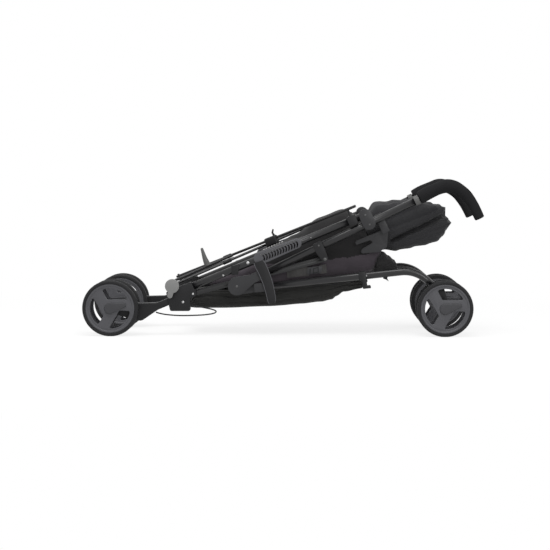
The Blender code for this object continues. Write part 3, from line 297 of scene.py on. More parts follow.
# %% Hard finishes
BLACK_NYLON = grained("black_nylon", (0.012, 0.012, 0.013), 0.48, contrast=0.18)
GREY_NYLON = grained("grey_nylon", (0.026, 0.026, 0.028), 0.42, gloss=0.3)
PALE_NYLON = grained("pale_nylon", (0.215, 0.215, 0.213), 0.45, 1400, 0.00005, 0.06, 0.06)
HORN_NYLON = grained("horn_nylon", (0.105, 0.105, 0.103), 0.45, 1400, 0.00005, 0.06, 0.06)
RIM_NYLON = grained("rim_nylon", (0.080, 0.080, 0.087), 0.42, 1200)
CAP_NYLON = grained("cap_nylon", (0.050, 0.050, 0.054), 0.42, 1200)
TYRE_FOAM = grained("tyre_foam", (0.017, 0.017, 0.018), 0.78, 700, 0.00012, 0.08, 0.2)
GRIP_FOAM = grained("grip_foam", (0.013, 0.013, 0.014), 0.88, 1600, 0.0002, 0.05, 0.15, 6, gloss=0.15)
METAL = {"height": 0.00002, "contrast": 0.0}
TUBE_LACQUER = grained(
    "tube_lacquer", (0.009, 0.009, 0.010), 0.30, 900, band=0.05, coat=0.10, gloss=0.4, **METAL
)
DARK_STEEL = grained("screw_steel", (0.10, 0.10, 0.10), 0.35, 600, band=0.08, metallic=1.0, **METAL)
STEEL = grained("rivet_steel", (0.50, 0.50, 0.50), 0.30, 600, band=0.08, metallic=1.0, **METAL)

# %% [markdown]
# ## Cloth
# Woven cloth follows its sheet, so its pattern reads the sheet's own UV map, in metres. Two
# wave textures at right angles are the warp and the weft, and the higher of the two lifts the
# bump. Broad noise under it is the cloth's soft creasing.

# %% Cloth finishes
def new_cloth(name, colour, thread, roughness=0.9, sheen=0.10, contrast=0.25):
    """A woven finish; thread is the width of one thread in metres."""
    material = new_finish(name, colour, roughness)
    tree = material.node_tree
    sheet = add_node(tree, "UVMap", uv_map="UVMap").outputs["UV"]
    wave = {"Vector": sheet, "Scale": math.pi / 10 / thread, "Distortion": 0.6, "Detail": 1.0}
    warp, weft = (add_node(tree, "TexWave", wave, bands_direction=axis) for axis in ("X", "Y"))
    threads = {0: warp.outputs["Fac"], 1: weft.outputs["Fac"]}
    weave = add_node(tree, "Math", threads, operation="MAXIMUM").outputs[0]
    bump = add_node(tree, "Bump", {"Strength": 0.5, "Distance": thread * 0.25, "Height": weave})
    place = add_node(tree, "TexCoord").outputs["Object"]
    blotch = add_node(tree, "TexNoise", {"Vector": place, "Scale": 22, "Detail": 6}).outputs["Fac"]
    folds = {"Strength": 0.35, "Distance": 0.004, "Height": blotch, "Normal": bump.outputs["Normal"]}
    shades = {0: weave, 1: 0.5, 2: multiply(tree, blotch, 0.5)}
    shade = add_node(tree, "Math", shades, operation="MULTIPLY_ADD").outputs[0]
    looks = {
        "Sheen Weight": sheen,
        "Sheen Roughness": 0.5,
        "Normal": add_node(tree, "Bump", folds).outputs["Normal"],
        "Base Color": toned(tree, colour, contrast, shade),
    }
    fill_in(tree, tree.nodes["Principled BSDF"], looks)
    return material


CANOPY_CLOTH = new_cloth("canopy_cloth", (0.026, 0.026, 0.028), 0.0011)
SEAT_CLOTH = new_cloth("seat_cloth", (0.066, 0.056, 0.066), 0.0013)
BASKET_CLOTH = new_cloth("basket_cloth", (0.020, 0.020, 0.019), 0.0016)
# the darkest cloth: the calf rest's own cloth, and painted shade on the top of the seat
SHADE_AND_DARK_CLOTH = new_cloth("painted_shade_and_dark_cloth", (0.016, 0.0155, 0.016), 0.0016)
WEBBING = new_cloth("harness_webbing", (0.058, 0.056, 0.055), 0.0014, 0.7, 0.15, 0.35)
print("finishes", len(bpy.data.materials))

# %% [markdown]
# ## Moulded pieces
# The solids have the right outlines but knife-sharp edges. A moulded part has a small radius on
# every edge, and that radius is what catches the light on black plastic. So each moulded node is
# copied, its triangles are merged back into faces, and a bevel rounds the edges.

# %% Helpers for a piece
def select_only(obj):
    bpy.ops.object.select_all(action="DESELECT")
    obj.select_set(True)
    bpy.context.view_layer.objects.active = obj


def apply_all(obj):
    select_only(obj)
    for modifier in list(obj.modifiers):
        bpy.ops.object.modifier_apply(modifier=modifier.name)


def modify(piece, kind, **settings):
    """Add a modifier with its settings and apply it."""
    adjust(piece.modifiers.new(kind.lower(), kind), **settings)
    apply_all(piece)


def edit_all():
    """Edit mode on the active piece, with all of it selected."""
    bpy.ops.object.mode_set(mode="EDIT")
    bpy.ops.mesh.select_all(action="SELECT")


def smooth_under(degrees):
    """Smooth shading for the active piece, with sharp edges where it turns by more than this."""
    bpy.ops.object.shade_smooth_by_angle(angle=math.radians(degrees))


def give_finish(obj, material):
    obj.data.materials.clear()
    obj.data.materials.append(material)


def own_copy(source, name):
    """A copy of a piece with a mesh of its own."""
    piece = bpy.data.objects.new(name, source.data.copy())
    bpy.context.scene.collection.objects.link(piece)
    return piece


def discard(obj):
    bpy.data.objects.remove(obj, do_unlink=True)


def body_of(node):
    return nodes[node]["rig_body"]


def stand_for(piece, node):
    """The piece rides with the node's body and hides the node."""
    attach(piece, body_of(node))
    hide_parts(node)


# %% Rounding a moulded node
def soften_edges(piece, radius, segments=2, angle=35, smooth=40, miter="MITER_SHARP"):
    """A bevel on every sharp edge of a piece."""
    limit = {"limit_method": "ANGLE", "angle_limit": math.radians(angle), "use_clamp_overlap": True}
    modify(piece, "BEVEL", width=radius, segments=segments, miter_outer=miter, **limit)
    smooth_under(smooth)


def moulded(node, material, radius=0.0010):
    """A copy of a node with rounded edges, which stands for it."""
    piece = own_copy(nodes[node], f"{node}_moulded")
    select_only(piece)
    edit_all()
    bpy.ops.mesh.remove_doubles(threshold=0.00002)
    bpy.ops.mesh.dissolve_limited(angle_limit=math.radians(1.5))
    bpy.ops.object.mode_set(mode="OBJECT")
    soften_edges(piece, radius, angle=38, smooth=32, miter="MITER_ARC")
    give_finish(piece, material)
    stand_for(piece, node)


# %% Moulded nodes
GREY_NODES = ["top_bracket", "knee_bracket", "front_knee", "canopy_hinge"]
BLACK_NODES = [
    "foot_bracket",
    "caster_fork",
    "lower_bracket",
    "rear_wheel_housing",
    "strut_runner",
    "brace_runner",
]
for side in SIDES:
    for kind in GREY_NODES:
        moulded(f"{kind}_{side}", GREY_NYLON, 0.0012)
    for kind in BLACK_NODES:
        moulded(f"{kind}_{side}", BLACK_NYLON)
    moulded(f"handle_collar_{side}", HORN_NYLON, 0.0008)
    moulded(f"strut_{side}", TUBE_LACQUER, 0.0007)
moulded("brace_hub", BLACK_NYLON)
moulded("brake_pedal", PALE_NYLON, 0.0012)
moulded("harness_buckle", CAP_NYLON, 0.0008)
print("moulded nodes", 2 * len(GREY_NODES + BLACK_NODES) + 7)

# %% [markdown]
# ## Tubes, rods and grips
# Round bars are swept along a path. A Bezier curve added in the scene becomes a poly spline
# through the path's points, its bevel gives the round section, and each point's radius gives the
# taper of a grip or a horn. The frame's tubes are then given a wall, so that they are open.

# %% Sweeping a round bar
def close_skin(merge=0.0):
    """Merge the points that touch, and turn all faces of the active piece outwards."""
    edit_all()
    if merge:
        bpy.ops.mesh.remove_doubles(threshold=merge)
    bpy.ops.mesh.normals_make_consistent(inside=False)
    bpy.ops.object.mode_set(mode="OBJECT")


def swept(name, points, radius, material, radii=None, resolution=10, caps=True):
    """A round bar along a path; radii are the bar's own radius at each point."""
    bpy.ops.object.select_all(action="DESELECT")
    bpy.ops.curve.primitive_bezier_curve_add(location=(0, 0, 0))
    bar = bpy.context.object
    bar.name = name
    curve = bar.data
    curve.splines.clear()
    line = curve.splines.new("POLY")
    line.points.add(len(points) - 1)
    for index, point in enumerate(points):
        line.points[index].co = (*point, 1)
        if radii:
            line.points[index].radius = radii[index] / radius
    adjust(curve, bevel_depth=radius, bevel_resolution=resolution, use_fill_caps=caps)
    bpy.ops.object.convert(target="MESH")
    bar = bpy.context.object
    select_only(bar)
    close_skin(0.000001)
    smooth_under(40)
    give_finish(bar, material)
    return bar


def smooth_path(points, steps=6):
    """Points on a smooth curve through the given ones (any number of coordinates)."""
    padded = [points[0], *points, points[-1]]
    path = []
    for index in range(1, len(padded) - 2):
        a, b, c, d = (Vector(p) for p in padded[index - 1 : index + 3])
        for step in range(steps):
            t = step / steps
            run = 2 * b + (c - a) * t
            bend = (2 * a - 5 * b + 4 * c - d) * t**2
            twist = (3 * b - a - 3 * c + d) * t**3
            path.append(0.5 * (run + bend + twist))
    path.append(Vector(points[-1]))
    return path


def tapered(name, knots, material, tip, steps=6, resolution=10):
    """A bar through knots (x, y, z, radius); each (step, share) of the tip rounds its end."""
    line = smooth_path(knots, steps)
    points = [knot.to_3d() for knot in line]
    radii = [knot.w for knot in line]
    heading = (points[-1] - points[-2]).normalized()
    end, end_radius = points[-1], radii[-1]
    points += [end + heading * step for step, share in tip]
    radii += [end_radius * share for step, share in tip]
    return swept(name, points, radii[0], material, radii, resolution)


# %% Frame tubes
TUBE_WALL = 0.0015
NECK_RADIUS = 0.085
NECK_TURN = math.radians(47.3)


def front_leg_line():
    """The front leg runs straight, then bends down in its neck to the castor."""
    line = [on_front(0.055), on_front(0.430)]
    middle = on_front(0.430, -NECK_RADIUS)
    for step in range(1, 15):
        angle = math.pi / 2 + FRONT_SLOPE - NECK_TURN * step / 14
        line.append(polar(NECK_RADIUS, angle, middle))
    line.append(along(line[-1], FRONT_SLOPE - NECK_TURN, 0.022))
    return line


TUBE_LINES = {
    "handle_tube": [on_handle(0.058), on_handle(0.565)],
    "rear_leg": [on_rear(-0.004), on_rear(0.5545)],
    "front_leg": front_leg_line(),
}
for side, sign in SIDES.items():
    for name, line in TUBE_LINES.items():
        path = [at(point, sign * HALF) for point in line]
        tube = swept(f"{name}_{side}_tube", path, TUBE, TUBE_LACQUER, caps=False)
        modify(tube, "SOLIDIFY", thickness=TUBE_WALL, offset=-1, use_even_offset=True)
        stand_for(tube, f"{name}_{side}")
print("tubes", 2 * len(TUBE_LINES))

# %% Grips
GRIP_START = 0.5275
# the foam closes in a shallow dome
GRIP_TIP = [
    (0.0042 * math.sin(angle), 0.72 + 0.28 * math.cos(angle))
    for angle in map(math.radians, (20, 40, 60, 78))
]
# distance past the grip's start, lift and radius
GRIP_STATIONS = [
    (0.0000, 0.0030, 0.0165),
    (0.0060, 0.0031, 0.0175),
    (0.0245, 0.0045, 0.0175),
    (0.0525, 0.0040, 0.0165),
    (0.0754, 0.0005, 0.0178),
    (0.0925, -0.0105, 0.0172),
    (0.1045, -0.0270, 0.0158),
    (0.1130, -0.0470, 0.0150),
    (0.1177, -0.0779, 0.0138),
    (0.1183, -0.1095, 0.0130),
]
for side, sign in SIDES.items():
    knots = [
        (*at(on_handle(GRIP_START + distance, lift), sign * HALF), radius)
        for distance, lift, radius in GRIP_STATIONS
    ]
    grip = tapered(f"foam_grip_{side}", knots, GRIP_FOAM, GRIP_TIP, 8, 12)
    stand_for(grip, f"handle_grip_{side}")
print("grips", len(SIDES))


# %% [markdown]
# ## Wheels
# A wheel is a nylon rim inside a foam tyre. The rim is turned from one section, and a plate with
# three broad spokes closes its outer face. The plate starts as a disc; three rounded openings are
# cut out of it, and a teardrop cap covers the hub. One wheel is modelled on the Y axis, and every
# other wheel is a copy of it.

# %% Turned and cut solids
def flat_ring(name, corners, fill_type):
    """A circle whose points are moved to the corners, as the start of a solid."""
    bpy.ops.object.select_all(action="DESELECT")
    bpy.ops.mesh.primitive_circle_add(vertices=len(corners), radius=1, fill_type=fill_type)
    ring = bpy.context.object
    ring.name = name
    for point, corner in zip(ring.data.vertices, corners):
        point.co = corner
    edit_all()
    return ring


def turned(name, section, material, steps=96):
    """A closed section of (radius, y) points spun about the Y axis."""
    ring = flat_ring(name, [(radius, y, 0) for radius, y in section], "NOTHING")
    bpy.ops.mesh.spin(steps=steps, angle=2 * math.pi, center=(0, 0, 0), axis=(0, 1, 0))
    close_skin(0.00001)
    smooth_under(45)
    give_finish(ring, material)
    return ring


def outline_solid(name, outline, low, high, material):
    """An outline of (x, z) points filled and extruded along Y."""
    solid = flat_ring(name, [(x, low, z) for x, z in outline], "NGON")
    bpy.ops.mesh.extrude_region_move(TRANSFORM_OT_translate={"value": (0, high - low, 0)})
    close_skin()
    give_finish(solid, material)
    return solid


def cut(piece, tool):
    """Take the tool's shape out of the piece."""
    modify(piece, "BOOLEAN", operation="DIFFERENCE", object=tool, solver="EXACT")
    discard(tool)


def joined(name, pieces):
    select_only(pieces[0])
    for piece in pieces[1:]:
        piece.select_set(True)
    bpy.ops.object.join()
    whole = bpy.context.object
    whole.name = name
    return whole


# %% Outlines
def rounded(corners, steps=6):
    """A closed outline whose corners (x, z, radius) are rounded by arcs."""
    outline = []
    for index, (x, z, radius) in enumerate(corners):
        here = Vector((x, z))
        before = Vector(corners[index - 1][:2]) - here
        after = Vector(corners[(index + 1) % len(corners)][:2]) - here
        if radius <= 0:
            outline.append((x, z))
            continue
        half = before.angle(after) / 2
        reach = min(radius / math.tan(half), 0.49 * before.length, 0.49 * after.length)
        radius = reach * math.tan(half)
        bisector = (before.normalized() + after.normalized()).normalized()
        middle = here + bisector * (radius / math.sin(half))
        first = here + before.normalized() * reach - middle
        last = here + after.normalized() * reach - middle
        turn = math.atan2(first.x * last.y - first.y * last.x, first.dot(last))
        for step in range(steps + 1):
            outline.append(tuple(middle + Matrix.Rotation(turn * step / steps, 2) @ first))
    return outline


def link_outline(first, second, first_radius, second_radius, steps=12):
    """The outline round two circles, like a teardrop."""
    start, end = Vector(first), Vector(second)
    heading = math.atan2(end.y - start.y, end.x - start.x)
    spread = math.acos((first_radius - second_radius) / (end - start).length)
    outline = []
    for step in range(steps + 1):
        angle = heading - spread + 2 * spread * step / steps
        outline.append(polar(second_radius, angle, end))
    back = 2 * math.pi - 2 * spread
    for step in range(1, steps):
        angle = heading + spread + back * step / steps
        outline.append(polar(first_radius, angle, start))
    return outline


# %% One rim, with its spokes, its hub and its cap
RIM_OUTER = 0.0642
DISC_RADIUS = RIM_OUTER - 0.005
OPENING_RADIUS = 0.0525
OPENING_INNER = 0.0245
HUB_RADIUS = 0.0155
HUB_BORE = 0.0045


def spoke_openings():
    """Three openings whose inner corner lies at one end, so that the spokes look swept round."""
    openings = []
    for index in range(3):
        turn = math.radians(120 * index)
        corners = []
        for step in range(9):
            angle = turn + math.radians(27 + 86 * step / 8)
            corners.append((*polar(OPENING_RADIUS, angle), 0.0055 if step in (0, 8) else 0))
        corners.append((*polar(OPENING_INNER, turn + math.radians(108)), 0.0045))
        openings.append(rounded(corners))
    return openings


rim_section = [
    (RIM_OUTER, -0.0105),
    (RIM_OUTER, 0.0095),
    (RIM_OUTER - 0.0012, 0.0104),
    (RIM_OUTER - 0.0030, 0.0108),
    (RIM_OUTER - 0.0048, 0.0104),
    (RIM_OUTER - 0.0060, 0.0092),
    (RIM_OUTER - 0.0075, 0.0082),
    (RIM_OUTER - 0.0075, 0.0030),
    (RIM_OUTER - 0.0045, 0.0020),
    (RIM_OUTER - 0.0045, -0.0105),
]
barrel = turned("rim_barrel", rim_section, RIM_NYLON)
disc_outline = [polar(DISC_RADIUS, 2 * math.pi * step / 96) for step in range(96)]
spokes = outline_solid("rim_spokes", disc_outline, 0.0025, 0.0088, RIM_NYLON)
for number, opening in enumerate(spoke_openings()):
    cut(spokes, outline_solid(f"opening_{number}", opening, -0.02, 0.03, RIM_NYLON))
soften_edges(spokes, 0.0014, 3)
hub_section = [
    (HUB_BORE, -0.0105),
    (HUB_RADIUS - 0.002, -0.0105),
    (HUB_RADIUS, -0.0085),
    (HUB_RADIUS, 0.006),
    (HUB_BORE, 0.006),
]
hub = turned("rim_hub", hub_section, RIM_NYLON, 48)
teardrop = link_outline((0, 0), (0.037, 0.009), 0.0145, 0.0055)
cap = outline_solid("hub_cap", teardrop, 0.0060, 0.0130, CAP_NYLON)
soften_edges(cap, 0.0022, 4)
rim = joined("one_rim", [barrel, spokes, hub, cap])

# %% One tyre
# radius and half width of its section
TYRE_SECTION = [
    (0.0645, 0.0112),
    (0.0665, 0.0118),
    (0.0690, 0.0119),
    (0.0708, 0.0108),
    (0.0721, 0.0086),
    (0.0728, 0.0056),
    (0.0730, 0.0022),
]
far_half = [(radius, -half_width) for radius, half_width in reversed(TYRE_SECTION)]
tyre = turned("foam_tyre", TYRE_SECTION + far_half, TYRE_FOAM, 120)
print("rim", len(rim.data.polygons), "faces; tyre", len(tyre.data.polygons))

# %% Eight wheels
AXLE_PLACES = {"rear": (-0.449, AXLE_Z), "front": (0.421, AXLE_Z)}
AXLE_RADIUS = 0.004
AXLE_HALF = 0.038
WHEEL_OFFSET = 0.027


def placed_copy(source, name, place, outward, size=1):
    """A copy at its place that faces outward along Y."""
    piece = own_copy(source, name)
    turn = Matrix.Diagonal((size, outward * size, size, 1))
    piece.data.transform(Matrix.Translation(place) @ turn)
    if outward < 0:
        piece.data.flip_normals()
    return piece


for corner, axle in AXLE_PLACES.items():
    for side, sign in SIDES.items():
        pair = []
        for place, outward in (("outer", sign), ("inner", -sign)):
            centre = at(axle, sign * HALF + outward * WHEEL_OFFSET)
            pair.append(placed_copy(rim, f"{corner}_{place}_rim_{side}", centre, outward))
            foam = placed_copy(tyre, f"{corner}_{place}_foam_tyre_{side}", centre, outward)
            stand_for(foam, f"{corner}_{place}_tyre_{side}")
        ends = [at(axle, sign * HALF - AXLE_HALF), at(axle, sign * HALF + AXLE_HALF)]
        pair.append(swept(f"{corner}_axle_{side}", ends, AXLE_RADIUS, STEEL, resolution=6))
        stand_for(joined(f"{corner}_rims_{side}", pair), f"{corner}_wheel_pair_{side}")
discard(rim)
discard(tyre)
print("wheels", 4 * len(AXLE_PLACES))

# %% [markdown]
# ## Leg covers
# A ribbed cover is clipped on the outer side of each rear leg: a long teardrop with a row of
# curved slots. It could be bevelled as the other moulded nodes are, but its slots are too narrow
# for that, so the outline is drawn again, rounded first, and then the slots are cut out.

# %% Leg covers
COVER_START = 0.176
COVER_END = 0.312
COVER_HALF = 0.0165
COVER_FACES = (0.0098, 0.0158)
SLOTS = 13
SLOT_HALF = 0.0024
SLOT_BOW = 0.0050


def side_plate(name, outline, sign, near, far, material):
    """An outline made solid between two distances from the middle of a side frame."""
    low, high = sorted((sign * (HALF + near), sign * (HALF + far)))
    return outline_solid(name, outline, low, high, material)


def bowed_slot(middle):
    """A narrow slot across the cover, bowed towards the leg's upper end."""
    slot = []
    for edge, turn in ((-SLOT_HALF, 1), (SLOT_HALF, -1)):
        for step in range(-4, 5):
            share = step / 4 * turn
            bow = (1 - share * share) * SLOT_BOW
            slot.append(on_rear(middle + edge - bow, share * COVER_HALF * 0.60))
    return slot


head = on_rear(COVER_START + COVER_HALF)
foot = on_rear(COVER_END - COVER_HALF)
cover_outline = link_outline(head, foot, COVER_HALF * 0.8, COVER_HALF, 20)
pitch = (COVER_END - COVER_START - 2.6 * COVER_HALF) / (SLOTS - 1)
near, far = COVER_FACES
for side, sign in SIDES.items():
    cover = side_plate(f"slotted_cover_{side}", cover_outline, sign, near, far, RIM_NYLON)
    soften_edges(cover, 0.0024, 4)
    cutters = []
    for number in range(SLOTS):
        slot = bowed_slot(COVER_START + 1.2 * COVER_HALF + pitch * number)
        cutter = side_plate(f"slot_{number}", slot, sign, near - 0.01, far + 0.01, RIM_NYLON)
        cutters.append(cutter)
    cut(cover, joined("slots", cutters))
    smooth_under(35)
    stand_for(cover, f"leg_cover_{side}")
print("leg covers with", SLOTS, "slots each")

# %% [markdown]
# ## Storage latch
# The latch is a strap that bows a little to the front and has a raised rim along each edge; the rims are in
# a paler nylon, a painted highlight along those edges. It hangs over the knee from its pivot on the leg
# cover, on the right side only. A bevelled box would lose the bow, so the strap and its two rims are cut
# from one bowed outline.

# %% Storage latch
LATCH_PIVOT = Vector(on_rear(COVER_END - 0.011, -0.0146))
LATCH_LENGTH = 0.1055
LATCH_ABOVE = 0.009
LATCH_DOWN = Vector(polar(1, math.radians(-71.7)))
LATCH_FRONT = Vector((-LATCH_DOWN.y, LATCH_DOWN.x))
LATCH_RELIEF = 0.0008


def latch_band(name, first, last, low, high, steps=20):
    """A piece of the bowed strap between two shares of its width, as a plate from low to high."""
    edges = ([], [])
    for step in range(steps + 1):
        share = step / steps
        down = -LATCH_ABOVE + (LATCH_LENGTH + LATCH_ABOVE) * share
        bow = 0.0055 * math.sin(math.pi * share) - 0.0015
        half = (0.0154 - 0.0042 * share) * min(1.0, 0.86 + 1.6 * share, 0.72 + 4.5 * (1 - share))
        for edge, across in zip(edges, (first, last)):
            edge.append(LATCH_PIVOT + LATCH_DOWN * down + LATCH_FRONT * (bow + half * across))
    outline = [tuple(point) for point in edges[0] + edges[1][::-1]]
    return outline_solid(name, outline, low, high, BLACK_NYLON)


latch_node = nodes["storage_latch"]
latch_depths = [(latch_node.matrix_world @ Vector(corner)).y for corner in latch_node.bound_box]
outer, inner = min(latch_depths), max(latch_depths)
latch = latch_band("bowed_latch", -1.0, 1.0, outer + LATCH_RELIEF, inner)
front_rim = latch_band("latch_front_rim", 0.86, 1.0, outer, inner)
back_rim = latch_band("latch_back_rim", -1.0, -0.86, outer, inner)
latch_highlight_rims = joined("latch_highlight_rims", [front_rim, back_rim])
# the rims take the paler rim nylon, a painted highlight along the strap's edges
give_finish(latch_highlight_rims, RIM_NYLON)
soften_edges(latch_highlight_rims, 0.0004, smooth=35)
soften_edges(latch, 0.0005, smooth=35)
stand_for(latch, "storage_latch")
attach(latch_highlight_rims, body_of("storage_latch"))
print("latch from", outer, "to", inner)

# %% [markdown]
# ## Rivets
# Bright rivets and dark screws hold the tubes and the pivots. One head is turned from its
# section, a low dome on a thin flange, and copied to each place with a mesh of its own. The one
# at the upper end of the rear leg is small and flush, because the brace's runner slides over it.

# %% Rivets
RIVET_SECTION = [
    (0.0002, -0.0004),
    (0.0044, -0.0004),
    (0.0045, 0.0004),
    (0.0036, 0.0006),
    (0.0033, 0.0013),
    (0.0024, 0.0019),
    (0.0012, 0.0022),
    (0.0002, 0.0022),
]
rivet = turned("rivet_head", RIVET_SECTION, STEEL, 24)
# the node that it sits on, the place in the side view, the height of the face, its size and finish
RIVETS = [
    ("top_bracket", LEG_PIVOT, 0.0138, 0.55, DARK_STEEL),
    ("top_bracket", on_handle(0.381, -0.0035), 0.0138, 0.55, DARK_STEEL),
    ("strut_runner", on_handle(0.2385, 0.004), 0.0127, 0.55, DARK_STEEL),
    ("strut_runner", on_handle(0.238, -0.0353), 0.0127, 1.0, DARK_STEEL),
    ("knee_bracket", KNEE, 0.0135, 0.7, DARK_STEEL),
    ("lower_bracket", (-0.2605, 0.0881), 0.0125, 0.7, STEEL),
    ("lower_bracket", on_rear(0.4925, -0.0185), 0.0125, 0.6, STEEL),
    ("rear_leg", on_rear(0.152), 0.0088, 0.38, STEEL),
    ("rear_leg", on_rear(0.329, 0.002), 0.0093, 0.85, STEEL),
    ("rear_leg", on_rear(0.401, -0.004), 0.0086, 0.55, STEEL),
    ("front_leg", (0.2162, 0.1568), 0.0094, 0.55, STEEL),
]
for side, sign in SIDES.items():
    for number, (node, place, height, size, finish) in enumerate(RIVETS):
        spot = at(place, sign * (HALF + height))
        head = placed_copy(rivet, f"rivet_{side}_{number}", spot, sign, size)
        give_finish(head, finish)
        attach(head, body_of(f"{node}_{side}"))
discard(rivet)
print("rivets", 2 * len(RIVETS))

# %% [markdown]
# ## Rods behind the rear legs
# Behind the rear legs lie the thin rods of the X brace and the two bars of the fold lock. Each
# turns on a pin through an eye, so a rod is a swept bar and the eye a short bevelled ring with a
# bore.

# %% Rods with an eye
LEG_NORMAL = Vector((-math.sin(REAR_SLOPE), 0, math.cos(REAR_SLOPE)))
BRACE_FOOT = 0.533
BRACE_HEAD = 0.036
LOCK_BARS = 0.200
LOCK_HEAD = BRACE_FOOT - math.sqrt(LOCK_BARS**2 - HALF**2)
ROD_RADIUS = 0.0035
EYE_THICKNESS = 0.006
# how far the brace's bar and the lock's bar lie behind the rear leg
ROD_LIFTS = {"right": (0.0230, 0.0315), "left": (0.0315, 0.0230)}


def eye(name, centre):
    """A bevelled ring whose axis is square to the rear legs."""
    turn = LEG_NORMAL.to_track_quat("Z", "Y").to_euler()
    made = []
    for sides, radius, depth in ((32, 0.008, EYE_THICKNESS), (24, 0.0033, EYE_THICKNESS * 2)):
        bpy.ops.object.select_all(action="DESELECT")
        bpy.ops.mesh.primitive_cylinder_add(
            vertices=sides, radius=radius, depth=depth, location=centre, rotation=turn
        )
        bpy.ops.object.transform_apply(location=True, rotation=True, scale=True)
        made.append(bpy.context.object)
    ring, drill = made
    ring.name = name
    cut(ring, drill)
    soften_edges(ring, 0.0009)
    give_finish(ring, TUBE_LACQUER)
    return ring


def rod_with_eye(name, foot, head, lift, tip):
    """A rod from its eye at the foot to its head and a tip beyond; returns its line."""
    start = at(on_rear(foot[0], lift), foot[1])
    end = at(on_rear(head[0], lift), head[1])
    run = (end - start).normalized()
    line = [start + run * 0.004, end + run * tip]
    rod = swept(f"{name}_rod", line, ROD_RADIUS, TUBE_LACQUER, resolution=5)
    stand_for(joined(f"{name}_steel", [rod, eye(f"{name}_eye", start)]), name)
    return start, run


brace_lines = {}
lock_lines = {}
for side, (brace_lift, lock_lift) in ROD_LIFTS.items():
    foot = (BRACE_FOOT, SIDES[side] * HALF)
    head = (BRACE_HEAD, -SIDES[side] * HALF)
    brace_lines[side] = rod_with_eye(f"brace_bar_{side}", foot, head, brace_lift, 0.024)
    lock_lines[side] = rod_with_eye(f"lock_bar_{side}", foot, (LOCK_HEAD, 0), lock_lift, 0.0)
print("rods", len(brace_lines) + len(lock_lines))

# %% [markdown]
# ## Small fittings
# Each bar of the X brace has a moulded stop, a strap plate hangs from each rear leg, and a hook
# clip grips each front leg. They are too small to be nodes, so they only ride with their bodies.

# %% Small fittings
STOP_RADIUS = 0.0055
STRAP_PLATE = [(-0.135, 0.181), (-0.133, 0.157), (-0.116, 0.160), (-0.114, 0.188)]
HOOK_CLIP = [
    (0.2604, 0.1594),
    (0.2734, 0.1594),
    (0.2722, 0.1490),
    (0.2765, 0.1418),
    (0.2680, 0.1470),
    (0.2617, 0.1490),
]
PLATES = [
    ("strap_plate", STRAP_PLATE, 0.0090, 0.0108, "rear_leg"),
    ("hook_clip", HOOK_CLIP, -0.004, 0.004, "front_leg"),
]
for side, sign in SIDES.items():
    start, run = brace_lines[side]
    line = [start + run * distance for distance in (0.152, 0.153, 0.175, 0.176)]
    radii = [0.0048, STOP_RADIUS, STOP_RADIUS, 0.0048]
    stop = swept(f"brace_stop_{side}", line, STOP_RADIUS, BLACK_NYLON, radii, 6)
    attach(stop, body_of(f"brace_bar_{side}"))
    for name, outline, near, far, node in PLATES:
        plate = side_plate(f"{name}_{side}", outline, sign, near, far, BLACK_NYLON)
        soften_edges(plate, 0.0006)
        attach(plate, body_of(f"{node}_{side}"))
print("small fittings", 2 + 2 * len(PLATES))

# %% [markdown]
# ## Fold pedal
# The pedal that folds the lock is a pale horn on the right lock bar. It is one sweep that tapers
# and leans a little, and three short steps close its tip.

# %% Fold pedal horn
# height above the bar, lean along it and radius
HORN_STATIONS = [
    (0.0000, 0.0000, 0.00850),
    (0.0102, 0.0000, 0.00765),
    (0.0242, 0.0005, 0.00595),
    (0.0465, 0.0030, 0.00360),
]
start, run = lock_lines["right"]
centre = start + run * 0.118 + LEG_NORMAL * 0.0015
knots = [
    (*(centre + LEG_NORMAL * height + run * lean), radius) for height, lean, radius in HORN_STATIONS
]
horn = tapered("pedal_horn", knots, HORN_NYLON, [(0.0012, 0.9), (0.0020, 0.7), (0.0026, 0.4)])
stand_for(horn, "fold_pedal")
print("pedal horn", len(horn.data.polygons), "faces")

# %% [markdown]
# ## Brake cable
# The brake cable leaves the rear wheel housing, sags in a narrow loop under the leg and goes
# back into the lower bracket. It is a cord with both ends in the object, so its route is given
# as points, and its length is the length of that route.

# %% Brake cable
def length_of(path):
    return sum((b - a).length for a, b in zip(path, path[1:]))


CABLE_ROUTE = [
    (-0.3326, -0.1110, 0.0598),
    (-0.3220, -0.1120, 0.0568),
    (-0.3020, -0.1130, 0.0535),
    (-0.2700, -0.1140, 0.0515),
    (-0.2350, -0.1140, 0.0520),
    (-0.2050, -0.1130, 0.0535),
    (-0.1820, -0.1110, 0.0570),
    (-0.1750, -0.1090, 0.0620),
    (-0.1840, -0.1080, 0.0670),
    (-0.2050, -0.1080, 0.0715),
    (-0.2250, -0.1090, 0.0760),
    (-0.2400, -0.1110, 0.0796),
]
route = smooth_path(CABLE_ROUTE, 3)
cable = swept("brake_cable_cord", route, 0.0018, BLACK_NYLON, resolution=5)
stand_for(cable, "brake_cable")

# %% [markdown]
# ## Folded cloth
# The canopy, basket and calf rest are cloth gathered between the two side frames. Each starts as
# a flat grid that is rolled into a sleeve along the frame, with one pole at each end, and its
# creases are pressed in as sharp valleys between rounded folds. The grid's own UV map is scaled
# to metres, so the weave keeps its size.

# %% Rolling a grid into a sleeve
def squared_ring(count):
    """Points (across, up) evenly spaced round a rounded square, from the far side over the top."""
    fine = []
    for step in range(720):
        across, up = polar(1, 2 * math.pi * step / 720)
        corner = [math.copysign(math.sqrt(abs(value)), value) for value in (across, up)]
        fine.append(Vector(corner))
    fine.append(fine[0])
    run = [0.0]
    for before, after in zip(fine, fine[1:]):
        run.append(run[-1] + (after - before).length)
    ring = []
    index = 0
    for step in range(count):
        goal = run[-1] * step / count
        while run[index + 1] < goal:
            index += 1
        share = (goal - run[index]) / (run[index + 1] - run[index])
        ring.append(fine[index].lerp(fine[index + 1], share))
    return ring


